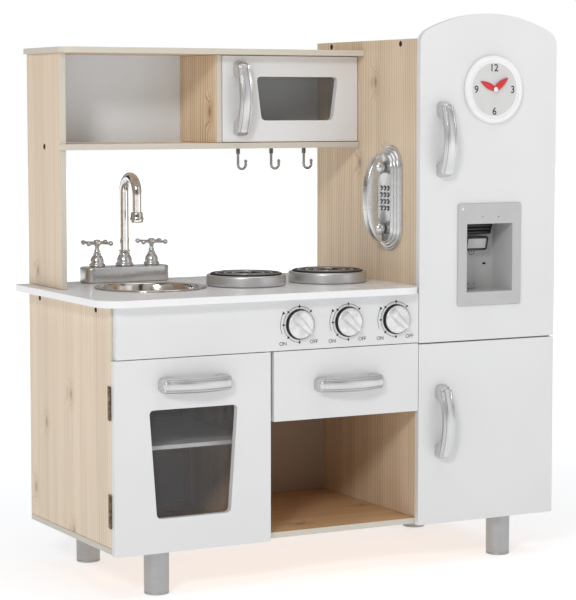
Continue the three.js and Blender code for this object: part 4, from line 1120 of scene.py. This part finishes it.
class KITCHEN_OT_hooks(bpy.types.Operator):
    """Three wire hooks screwed in under the open shelf"""

    bl_idname = "kitchen.hooks"
    bl_label = "Hooks"

    def execute(self, context):
        for number in (1, 2, 3):
            node = f"hook_{number}"
            low, high = corners(node)
            collar, wire = 4.2 * MM, 2.2 * MM
            bend = 7.5 * MM
            x, y = low[0] + collar, (low[1] + high[1]) / 2
            turn = low[2] + wire + bend
            shank = np.linspace(high[2] - 1 * MM, turn, 14)[:-1]
            angle = np.linspace(0, pi, 26)
            tip = np.linspace(turn, turn + 6 * MM, 5)[1:]
            path_x = np.concatenate([0 * shank, bend - bend * np.cos(angle), 0 * tip + 2 * bend])
            path_z = np.concatenate([shank, turn - bend * np.sin(angle), tip])
            path = np.column_stack([x + path_x, np.full(len(path_x), y), path_z])
            grids = [swept(path, BACK, circle(wire, 20)), ball(2.9 * MM, path[-1], 12, 18)]
            height = np.linspace(0, 9 * MM, 37)
            thread = collar - 0.7 * MM + 0.5 * MM * np.cos(height / (1.5 * MM) * 2 * pi)
            screw = np.column_stack([thread, height])
            screw = np.concatenate([[[0, 0]], screw, [[0, 9 * MM]]])
            grids.append(turned(screw, 24) + [x, y, high[2] - 9 * MM])
            add_piece(node + "_wire", grids, finish_for("nickel"), "carcass", (node,))
        return {"FINISHED"}


class KITCHEN_OT_legs(bpy.types.Operator):
    """Four round legs with a groove above the foot and a lip at the top"""

    bl_idname = "kitchen.legs"
    bl_label = "Legs"

    def execute(self, context):
        for row in ("front", "back"):
            for column in ("left", "right"):
                node = f"leg_{row}_{column}"
                low, high = corners(node)
                centre = middle(node)
                radius, height = (high[0] - low[0]) / 2, high[2] - low[2]
                profile = eased([
                    [0, 0], [radius - 2.5 * MM, 0], [radius - 0.3 * MM, 0.4 * MM],
                    [radius - 0.2 * MM, 3.5 * MM], [radius - 1.0 * MM, 4.0 * MM],
                    [radius - 0.2 * MM, 4.6 * MM], [radius - 0.2 * MM, height - 2 * MM],
                    [radius, height - 1.6 * MM], [radius, height], [0, height]], steps=4)
                grid = turned(profile, 64) + [centre[0], centre[1], low[2]]
                add_piece(node + "_tube", [grid], finish_for("silver tube"), "carcass",
                          (node,))
        return {"FINISHED"}


class KITCHEN_OT_hinges(bpy.types.Operator):
    """Butt hinges on the edge of the oven door: knuckles, leaf and screws"""

    bl_idname = "kitchen.hinges"
    bl_label = "Hinges"

    def execute(self, context):
        for node in ("oven_hinge_upper", "oven_hinge_lower"):
            low, high = corners(node)
            radius = (high[0] - low[0]) / 2
            x, y = (low[0] + high[0]) / 2, low[1] + radius
            height = high[2] - low[2]
            rise = np.linspace(0, height, 56)
            knuckle = np.abs(np.sin(rise / height * 5 * pi)) ** 0.25
            profile = np.column_stack([radius * (0.62 + 0.38 * knuckle), rise])
            profile = np.concatenate([[[0, 0]], profile, [[0, height]]])
            grids = [turned(profile, 24) + [x, y, low[2]]]
            centre = np.array([high[0], (low[1] + high[1]) / 2 + radius / 2, (low[2] + high[2]) / 2])
            plate = stacked(rounded_levels(0, 1 * MM, 0.3 * MM), height / 2, 5.4 * MM, 1.5 * MM, 4)
            grids.append(placed(plate, centre, UP, BACK, LEFT))
            for level in (-0.34, 0.0, 0.34):
                spot = centre + UP * level * height + LEFT * 1 * MM + BACK * 1.2 * MM
                grids.append(placed(ball(2.3 * MM, (0, 0, 0), 8, 16, 0.4), spot, UP, BACK, LEFT))
            add_piece(node + "_leaf", grids, finish_for("bronze"), "carcass", (node,))
            # Near-black slots between the knuckles: painted shade in the gaps.
            slot = prism(outline(1.6 * MM, 3.6 * MM, 0.6 * MM, steps=3), 0, 0.4 * MM)
            slots = [placed(slot, [high[0] - 1.1 * MM, low[1] + 2.6 * MM, low[2] + share * height],
                            BACK, UP, LEFT) for share in (0.10, 0.37, 0.64, 0.91)]
            add_piece(node + "_gaps", slots, finish_for("dark hole"), "carcass")
        return {"FINISHED"}


# ------------------------------------------------------------------ clock

HOUR_ANGLE, MINUTE_ANGLE = radians(-65), radians(52)


def leaf_grid(reach, width, depth):
    """A pointed leaf in (across, along, out): its half width is W sin(pi u^0.78)^0.8 plus a root
    that tapers away, and its back is flat; each section is half an ellipse."""
    u = np.linspace(0.0, 1.0, 40)
    half = 0.5 * width * np.sin(pi * u ** 0.78) ** 0.8 + 0.9 * MM * (1 - u)
    along = -0.07 * reach + 1.07 * reach * u
    angle = np.linspace(0, pi, 13)
    section = np.stack([np.cos(angle), np.sin(angle)], axis=-1)
    grid = np.zeros((len(u), len(angle), 3))
    grid[..., 0] = half[:, None] * section[None, :, 0]
    grid[..., 1] = along[:, None]
    grid[..., 2] = 0.3 * depth * (section[None, :, 1] > 0.01)
    grid[..., 2] += 0.7 * depth * section[None, :, 1] * np.minimum(1, half / (0.3 * width))[:, None]
    return capped(grid)


class KITCHEN_OT_clock(bpy.types.Operator):
    """Clock with a round rim, a grey face, four figures and two red hands"""

    bl_idname = "kitchen.clock"
    bl_label = "Clock"

    def execute(self, context):
        low, high = corners("clock_body")
        centre = middle("clock_body")
        centre[1] = high[1]
        radius = (high[0] - low[0]) / 2
        face = radius - 9.5 * MM
        rim = eased([
            [0, 0], [radius - 1.5 * MM, 0], [radius, 1 * MM], [radius - 0.4 * MM, 5 * MM],
            [radius - 2.2 * MM, 8.2 * MM], [radius - 4 * MM, 9 * MM], [face + 1.2 * MM, 8.8 * MM],
            [face + 0.2 * MM, 8.2 * MM], [face, 5.9 * MM], [0.5 * face, 5.9 * MM], [0, 5.9 * MM]])
        add_piece("clock_rim", [placed(turned(rim, 128), centre, RIGHT, UP, OUT)],
                  finish_for("white moulding"), "fridge_upper_leaf", ("clock_body",))
        dial = turned([[0, 5.8 * MM], [face - 0.4 * MM, 5.8 * MM], [face - 0.4 * MM, 6.15 * MM],
                       [0, 6.15 * MM]], 96)
        add_piece("clock_dial", [placed(dial, centre, RIGHT, UP, OUT)], finish_for("dial grey"),
                  "fridge_upper_leaf")
        depth = sizes().print_depth
        for figure, right, up in (("12", 0, 1), ("3", 1, 0), ("6", 0, -1), ("9", -1, 0)):
            place = centre + 0.755 * face * (right * RIGHT + up * UP)
            place = place + OUT * (6.15 * MM + depth / 2)
            mesh = lettering(figure, sizes().digit_height, place, RIGHT, UP, depth, 0.22 * MM)
            finish_piece(f"clock_figure_{figure}", mesh, finish_for("black ink"),
                         "fridge_upper_leaf")
        for node, body, angle in (("hour_hand", "clock_hour_hand", HOUR_ANGLE),
                                  ("minute_hand", "clock_minute_hand", MINUTE_ANGLE)):
            self.add_hand(node, body, centre, angle)
        return {"FINISHED"}

    def add_hand(self, node, body, centre, angle):
        low, high = corners(node)
        spot = np.array([centre[0], high[1], centre[2]])
        along = UP * cos(angle) + RIGHT * sin(angle)
        across = RIGHT * cos(angle) - UP * sin(angle)
        grids = [placed(leaf_grid(33 * MM, 10.5 * MM, high[1] - low[1]), spot, across, along, OUT)]
        add_piece(node + "_leaf", grids, finish_for("red moulding"), body, (node,))
        if node == "minute_hand":
            hub = ball(4.2 * MM, (0, 0, 0), 14, 28, 0.45)
            spot = spot + OUT * (high[1] - low[1])
            add_piece("clock_hub", [placed(hub, spot, RIGHT, UP, OUT)],
                      finish_for("white moulding"), body)


# ------------------------------------------------------------------ water dispenser

class KITCHEN_OT_dispenser(bpy.types.Operator):
    """Water dispenser: moulded recess, ribbed chute, lever frame and small holes"""

    bl_idname = "kitchen.dispenser"
    bl_label = "Dispenser"

    def execute(self, context):
        softened("dispenser_housing", finish_for("dispenser moulding"), "fridge_upper_leaf",
                 0.8 * MM)
        low, high = corners("dispenser_housing")
        chute_low, chute_high = corners("dispenser_chute")
        self.add_chute(chute_low, chute_high)
        self.add_lever()
        back = chute_high[1] - 0.25 * MM
        centre = np.array([(chute_low[0] + chute_high[0]) / 2, back, chute_low[2]])
        # The holes are near-black discs: painted shade inside them.
        bore = prism(circle(1.05 * MM, 12), 0, 0.25 * MM)
        wide = prism(outline(3.4 * MM, 2.0 * MM, 2.0 * MM, steps=6), 0, 0.25 * MM)

        def spot(grid, right, up, plane=back):
            place = np.array([centre[0] + right * MM, plane, centre[2] + up * MM])
            return placed(grid, place, RIGHT, UP, OUT)

        ring = [spot(bore, 2.6 + 5.6 * cos(a), -31.5 + 5.6 * sin(a))
                for a in np.arange(8) / 8 * 2 * pi]
        grids = ring + [spot(bore, 2.6, -31.5), spot(wide, 29, -53)]
        grids += [spot(bore, right, up) for right in (-2.8, 8.4) for up in (-88, -96.5)]
        grids += [spot(bore, right, 33, low[1]) for right in (-15, 17.4)]
        add_piece("dispenser_holes", grids, finish_for("dark hole"), "fridge_upper_leaf")
        boss = placed(ball(2.4 * MM, (0, 0, 0), 10, 18, 0.6),
                      [low[0] + 9 * MM, low[1], high[2] - 9 * MM], RIGHT, UP, OUT)
        add_piece("dispenser_boss", [boss], finish_for("white moulding"), "fridge_upper_leaf")
        return {"FINISHED"}

    def add_chute(self, low, high):
        """A closed profile of depth and height with three round ribs, carried from side to side."""
        depth, height = high[1] - low[1], high[2] - low[2]
        rib = np.linspace(0, 3 * pi, 25)
        front_y = low[1] + 0.10 * depth * (1 - np.abs(np.sin(rib)) ** 0.6) + 0.25 * depth * (rib / (3 * pi))
        front_z = high[2] - height * (0.08 + 0.92 * rib / (3 * pi))
        profile = np.concatenate([
            [[high[1], high[2]], [low[1] + 0.16 * depth, high[2]]], np.column_stack([front_y, front_z]),
            [[high[1], low[2]]]])
        x = np.array([low[0], low[0] + 0.8 * MM, high[0] - 0.8 * MM, high[0]])
        scale = np.array([0.96, 1, 1, 0.96])
        centre = profile.mean(0)
        ring = centre + scale[:, None, None] * (profile - centre)[None]
        grid = np.concatenate([np.repeat(x[:, None, None], len(profile), axis=1), ring], axis=-1)
        add_piece("dispenser_spout", [capped(grid)], finish_for("gloss black"), "fridge_upper_leaf",
                  ("dispenser_chute",))

    def add_lever(self):
        """Four round bars about a thin window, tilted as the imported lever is."""
        low, high = corners("dispenser_lever")
        tilt = radians(14)
        down = -UP * cos(tilt) + BACK * sin(tilt)
        out = OUT * cos(tilt) - UP * sin(tilt)
        centre = (low + high) / 2
        half_x, half_z, bar = (high[0] - low[0]) / 2, 13 * MM, 2.2 * MM
        path = outline(half_x - bar, half_z - bar, 3 * MM, steps=6)
        path = np.concatenate([path, path[:1]])
        ring = np.column_stack([path, np.zeros(len(path))])
        tangent = np.roll(ring[:-1], -1, 0) - np.roll(ring[:-1], 1, 0)
        side = np.cross(tangent, UP)
        side /= np.linalg.norm(side, axis=1, keepdims=True)
        section = circle(bar, 10)
        grid = ring[:-1, None] + section[None, :, :1] * side[:, None]
        grid = grid + section[None, :, 1:] * UP[None, None]
        points = placed(grid, centre, RIGHT, down, out)
        mesh = bpy.data.meshes.new("dispenser_lever_frame")
        flat, faces = grid_shell(points, wrap_u=True)
        flat, faces = tidy_shell(flat, faces)
        mesh.from_pydata(flat.tolist(), [], faces)
        finish_piece("dispenser_lever_frame", mesh, finish_for("gloss black"), "water_lever",
                     ("dispenser_lever",))
        pane = stacked(rounded_levels(-0.6 * MM, 0.6 * MM, 0.2 * MM, 3), half_x - bar, half_z - bar,
                       2 * MM, 4)
        add_piece("dispenser_lever_pane", [placed(pane, centre, RIGHT, down, out)],
                  finish_for("dispenser moulding"), "water_lever")


# ------------------------------------------------------------------ telephone

class KITCHEN_OT_telephone(bpy.types.Operator):
    """Wall telephone: stepped oval base, key plate with twelve buttons and a bowed handset"""

    bl_idname = "kitchen.telephone"
    bl_label = "Telephone"

    def execute(self, context):
        silver = finish_for("silver paint")
        low, high = corners("phone_base")
        half_z, half_y, depth = (high[2] - low[2]) / 2, (high[1] - low[1]) / 2, high[0] - low[0]
        centre = middle("phone_base")
        centre[0] = high[0]
        step = depth / 4
        levels = [(0, 0.0), (0.5 * step, 0.0), (0.85 * step, 0.4 * MM), (step, 1.4 * MM)]
        for ring in range(1, 4):
            inset = ring * 4.5 * MM
            base = ring * step
            levels += [(base - 0.1 * MM, inset - 1.0 * MM), (base + 0.35 * step, inset - 0.2 * MM),
                       (base + 0.75 * step, inset + 0.2 * MM), (base + 0.97 * step, inset + 1.1 * MM),
                       (base + step, inset + 2.2 * MM)]
        levels.append((depth - 0.8 * MM, 3 * 4.5 * MM + 5 * MM))
        base = stacked(levels, half_z, half_y, half_y, steps=24)
        grids = [placed(base, centre, UP, BACK, LEFT)]
        add_piece("phone_plate", grids, silver, "carcass", ("phone_base",))
        self.add_keys(centre, depth)
        self.add_handset(silver)
        return {"FINISHED"}

    def add_keys(self, centre, depth):
        face = centre + LEFT * (depth - 0.8 * MM)
        radius = sizes().button_radius
        # A near-black collar round each button: painted shade in its well.
        collar = turned([[0, 0], [radius + 1.2 * MM, 0], [radius + 1.2 * MM, 0.5 * MM],
                         [0, 0.5 * MM]], 24)
        cap = turned(eased([[0, 0], [radius, 0], [radius, 1.5 * MM], [0.7 * radius, 2.0 * MM],
                            [0, 2.1 * MM]]), 24)
        spots = [face + UP * row * 11.6 * MM + BACK * (column * 11 - 4) * MM
                 for row in (-1.5, -0.5, 0.5, 1.5) for column in (-1, 0, 1)]
        add_piece("phone_key_wells", [placed(collar, spot, UP, BACK, LEFT) for spot in spots],
                  finish_for("dark hole"), "carcass")
        add_piece("phone_keys", [placed(cap, spot, UP, BACK, LEFT) for spot in spots],
                  finish_for("silver paint"), "carcass")

    def add_handset(self, finish):
        """The grip is a rounded section between an outer and an inner bow; its cups are turned."""
        low, high = corners("phone_handset")
        centre = (low + high) / 2
        half, reach = (high[2] - low[2]) / 2, high[0] - low[0]
        half_width = (high[1] - low[1]) / 2
        base = np.array([high[0], centre[1], centre[2]])
        u = np.sin(np.linspace(-pi / 2, pi / 2, 61))
        along = half * u
        outer = 6 * MM + (reach - 7 * MM) * (1 - np.abs(u) ** 2.5) ** 0.62
        hollow = 0.5 + 0.5 * np.cos(pi * np.clip((np.abs(u) - 0.42) / 0.20, 0, 1))
        inner = 4.5 * MM + 8.8 * MM * hollow
        inner = np.minimum(inner, outer - 0.2 * MM)
        thick, mid = (outer - inner) / 2, (outer + inner) / 2
        section = outline(1.0, 1.0, 0.30, steps=6)
        wide = 8.5 * MM * (1 - 0.30 * np.abs(u) ** 6)
        grid = np.zeros((len(u), len(section), 3))
        grid[..., 0] = along[:, None]
        grid[..., 1] = wide[:, None] * section[None, :, 0]
        grid[..., 2] = mid[:, None] + thick[:, None] * section[None, :, 1]
        grids = [placed(capped(grid), base, UP, BACK, LEFT)]
        radius, level, cut = 12.5 * MM, 8.6 * MM, 0.4 * MM
        angle = np.linspace(np.arcsin((cut - level) / radius), pi / 2, 24)
        cup = np.column_stack([radius * np.cos(angle), level + radius * np.sin(angle)])
        cup = np.concatenate([[[0, cut]], cup])
        for side in (-1, 1):
            spot = base + UP * side * 53 * MM
            grids.append(placed(turned(cup, 40), spot, UP, BACK, LEFT))
        for side in (-1, 1):
            band = outline(1.0, 1.0, 0.30, steps=6)
            level = int(np.argmin(np.abs(u - side * 0.25)))
            seam = np.zeros((4, len(band), 3))
            seam[..., 0] = along[level] + np.array([-0.4, -0.3, 0.3, 0.4])[:, None] * MM
            grow = np.array([1.0, 1.02, 1.02, 1.0])[:, None]
            seam[..., 1] = wide[level] * band[None, :, 0] * grow
            seam[..., 2] = mid[level] + thick[level] * band[None, :, 1] * grow
            grids.append(placed(capped(seam), base, UP, BACK, LEFT))
        add_piece("phone_handset_bow", grids, finish, "handset",
                  ("phone_handset",))


# ------------------------------------------------------------------ holes

class KITCHEN_OT_fixings(bpy.types.Operator):
    """Screw holes in the side panels and in the post: near-black discs painted as the shade inside them,
    with bronze rims
    """

    bl_idname = "kitchen.fixings"
    bl_label = "Screw holes"

    def execute(self, context):
        radius = sizes().screw_hole
        side_low, side_high = corners("left_side_panel")
        fridge_low, fridge_high = corners("fridge_left_panel")
        post_low, post_high = corners("shelf_post")
        shelf = middle("shelf_bottom_board")[2]
        places = [
            [fridge_low[0], fridge_low[1] + 56 * MM, fridge_high[2] - 8 * MM],
            [fridge_low[0], fridge_high[1] - 54 * MM, fridge_high[2] - 8 * MM],
            [post_low[0], post_low[1] + 72 * MM, shelf],
            [side_low[0], side_low[1] + 59 * MM, side_high[2] - 9 * MM],
            [side_low[0], side_high[1] - 50 * MM, side_high[2] - 9 * MM],
        ]
        depth = sizes().print_depth
        # Near-black discs: painted shade inside the holes.
        hole = prism(circle(radius, 28), 0, depth)
        rim = turned([[0, 0], [radius + 0.7 * MM, 0], [radius + 0.7 * MM, 0.5 * depth],
                      [0, 0.5 * depth]], 28)
        add_piece("screw_holes", [placed(hole, place, UP, BACK, LEFT) for place in places],
                  finish_for("dark hole"), "carcass")
        add_piece("screw_hole_rims", [placed(rim, place, UP, BACK, LEFT) for place in places],
                  finish_for("bronze"), "carcass")
        return {"FINISHED"}


# ------------------------------------------------------------------ stage

AIM_SHIFT = np.array([-11.6, -7.0, -17.3]) * MM     # camera's aim from the middle of the kitchen
SENSOR_WIDTH = 36
FLOOR_RINGS = np.array([0.02, 1.5, 6.0, 24.0])
FLOOR_SIDES = 96
FLOOR_DROP = 0.1 * MM                                # floor's clearance under the feet
LAMPS = (                                            # name, place, size, tint
    ("key", (-3.5, -3.8, 3.0), 0.9, (1.0, 0.99, 0.975)),
    ("fill", (3.0, -3.6, 1.6), 3.0, (0.97, 0.985, 1.0)),
    ("top", (0.2, -0.6, 3.4), 2.6, (1.0, 1.0, 1.0)),
)
ROOM_HEIGHTS = ((0.0, 0.80), (0.08, 0.70), (0.25, 0.85), (0.5, 1.15), (1.0, 1.20))
ROOM_SCREENS = (
    (0.0, 1.0), (0.14, 1.3), (0.19, 0.08), (0.27, 0.08), (0.33, 1.3), (0.45, 1.2), (0.48, 0.05),
    (0.53, 0.05), (0.57, 1.3), (0.77, 1.15), (0.81, 0.05), (0.87, 0.05), (0.92, 1.1), (1.0, 0.9))


class KITCHEN_OT_stage(bpy.types.Operator):
    """Pale floor, soft studio light and the camera"""

    bl_idname = "kitchen.stage"
    bl_label = "Stage"

    def execute(self, context):
        stage = context.scene.play_kitchen_stage
        low, high = (np.array(corner) for corner in PACKED_BOUNDS)
        aim = (low + high) / 2 + AIM_SHIFT
        self.add_camera(context, stage, aim)
        self.add_floor(low)
        for name, place, size, tint in LAMPS:
            self.add_lamp(name, getattr(stage, name + "_power"), place, size, aim, tint)
        self.light_room(context, stage)
        context.scene.view_settings.view_transform = "Standard"
        return {"FINISHED"}

    def add_camera(self, context, stage, aim):
        view = Vector((-sin(stage.azimuth) * cos(stage.elevation),
                       cos(stage.azimuth) * cos(stage.elevation), -sin(stage.elevation)))
        data = bpy.data.cameras.new("camera")
        data.lens = stage.lens
        data.sensor_width = SENSOR_WIDTH
        camera = bpy.data.objects.new("camera", data)
        camera.location = Vector(aim) - view * stage.distance
        camera.rotation_euler = view.to_track_quat("-Z", "Y").to_euler()
        context.scene.collection.objects.link(camera)
        context.scene.camera = camera

    def add_floor(self, low):
        """A wide flat disc under the feet."""
        angle = np.arange(FLOOR_SIDES) / FLOOR_SIDES * 2 * pi
        grid = np.zeros((len(FLOOR_RINGS), FLOOR_SIDES, 3))
        grid[..., 0] = FLOOR_RINGS[:, None] * np.cos(angle)
        grid[..., 1] = FLOOR_RINGS[:, None] * np.sin(angle)
        grid[..., 2] = low[2] - FLOOR_DROP
        points, faces = grid_shell(grid)
        mesh = bpy.data.meshes.new("floor")
        faces = faces.tolist() + [list(range(FLOOR_SIDES))]
        mesh.from_pydata(points.tolist(), [], faces)
        finish = Finish("floor", roughness=0.75, emission_strength=1.0)
        x, y, z = finish.axes()
        reach = (x ** 2 + y ** 2).root()
        cloud = finish.noise(finish.stretched(1.3, 1.3, 1.3), 1.0, 3.0, 0.5)
        finish.feed("Base Color", finish.mix(cloud, (0.58, 0.58, 0.58), (0.56, 0.56, 0.56)))
        glow = finish.mix(reach.between(0.6, 3.2), (0.60, 0.61, 0.625), (0.99, 0.99, 0.99))
        finish.feed("Emission Color", glow)
        mesh.materials.append(finish.material)
        floor = bpy.data.objects.new("floor", mesh)
        bpy.context.scene.collection.objects.link(floor)

    def add_lamp(self, name, power, place, size, aim, tint):
        data = bpy.data.lights.new(name, "AREA")
        data.energy = power
        data.size = size
        data.color = tint
        lamp = bpy.data.objects.new(name, data)
        lamp.location = place
        lamp.rotation_euler = (Vector(aim) - Vector(place)).to_track_quat("-Z", "Y").to_euler()
        bpy.context.scene.collection.objects.link(lamp)

    def light_room(self, context, stage):
        """Seen directly the room is white. What lights and reflects is a pale studio: its
        brightness over the height of a direction, times upright dark and pale screens over its X."""
        world = bpy.data.worlds.new("studio")
        world.use_nodes = True
        context.scene.world = world
        tree = world.node_tree
        tree.nodes.clear()
        output = tree.nodes.new("ShaderNodeOutputWorld")
        place = tree.nodes.new("ShaderNodeTexCoord")
        split = tree.nodes.new("ShaderNodeSeparateXYZ")
        tree.links.new(place.outputs["Generated"], split.inputs[0])
        over_height = self.graded(tree, split.outputs[2], 0.0, 1.0, ROOM_HEIGHTS)
        over_x = self.graded(tree, split.outputs[0], -1.0, 1.0, ROOM_SCREENS)
        product = tree.nodes.new("ShaderNodeVectorMath")
        product.operation = "MULTIPLY"
        tree.links.new(over_height, product.inputs[0])
        tree.links.new(over_x, product.inputs[1])
        room = tree.nodes.new("ShaderNodeBackground")
        room.inputs[1].default_value = stage.room_light
        tree.links.new(product.outputs[0], room.inputs[0])
        seen = tree.nodes.new("ShaderNodeBackground")
        seen.inputs[0].default_value = (1, 1, 1, 1)
        rays = tree.nodes.new("ShaderNodeLightPath")
        either = tree.nodes.new("ShaderNodeMixShader")
        tree.links.new(rays.outputs["Is Camera Ray"], either.inputs[0])
        tree.links.new(room.outputs[0], either.inputs[1])
        tree.links.new(seen.outputs[0], either.inputs[2])
        tree.links.new(either.outputs[0], output.inputs[0])

    def graded(self, tree, socket, low, high, stops):
        """Brightness over one direction component, interpolated between stops."""
        scaled = tree.nodes.new("ShaderNodeMapRange")
        scaled.inputs["From Min"].default_value = low
        scaled.inputs["From Max"].default_value = high
        tree.links.new(socket, scaled.inputs["Value"])
        ramp = tree.nodes.new("ShaderNodeValToRGB")
        ramp.color_ramp.interpolation = "EASE"
        tree.links.new(scaled.outputs[0], ramp.inputs[0])
        elements = ramp.color_ramp.elements
        for element, (position, level) in zip(elements, (stops[0], stops[-1])):
            element.position = position
            element.color = (level, level, level, 1)
        for position, level in stops[1:-1]:
            elements.new(position).color = (level, level, level, 1)
        return ramp.outputs[0]


# ------------------------------------------------------------------ add-on

OPERATORS = (
    KITCHEN_OT_stage, KITCHEN_OT_boards, KITCHEN_OT_fronts, KITCHEN_OT_windows,
    KITCHEN_OT_handles, KITCHEN_OT_knobs, KITCHEN_OT_sink, KITCHEN_OT_faucet, KITCHEN_OT_hob,
    KITCHEN_OT_hooks, KITCHEN_OT_legs, KITCHEN_OT_hinges, KITCHEN_OT_clock,
    KITCHEN_OT_dispenser, KITCHEN_OT_telephone, KITCHEN_OT_fixings,
)
SETTINGS = {
    "play_kitchen_colours": PlayKitchenColours,
    "play_kitchen_sizes": PlayKitchenSizes,
    "play_kitchen_stage": PlayKitchenStage,
}


class KITCHEN_PT_panel(bpy.types.Panel):
    """Settings and steps of the play kitchen"""

    bl_idname = "KITCHEN_PT_panel"
    bl_label = "Play Kitchen"
    bl_space_type = "VIEW_3D"
    bl_region_type = "UI"
    bl_category = "Play Kitchen"

    def draw(self, context):
        for name, group in SETTINGS.items():
            box = self.layout.box()
            for key in group.__annotations__:
                box.prop(getattr(context.scene, name), key)
        for operator in OPERATORS:
            self.layout.operator(operator.bl_idname)


def register():
    for kind in (*SETTINGS.values(), *OPERATORS, KITCHEN_PT_panel):
        bpy.utils.register_class(kind)
    for name, kind in SETTINGS.items():
        setattr(bpy.types.Scene, name, PointerProperty(type=kind))


def unregister():
    for name in SETTINGS:
        delattr(bpy.types.Scene, name)
    for kind in reversed((*SETTINGS.values(), *OPERATORS, KITCHEN_PT_panel)):
        bpy.utils.unregister_class(kind)


def main():
    register()
    for operator in OPERATORS:
        group, step = operator.bl_idname.split(".")
        getattr(getattr(bpy.ops, group), step)()


if __name__ == "__main__":
    main()
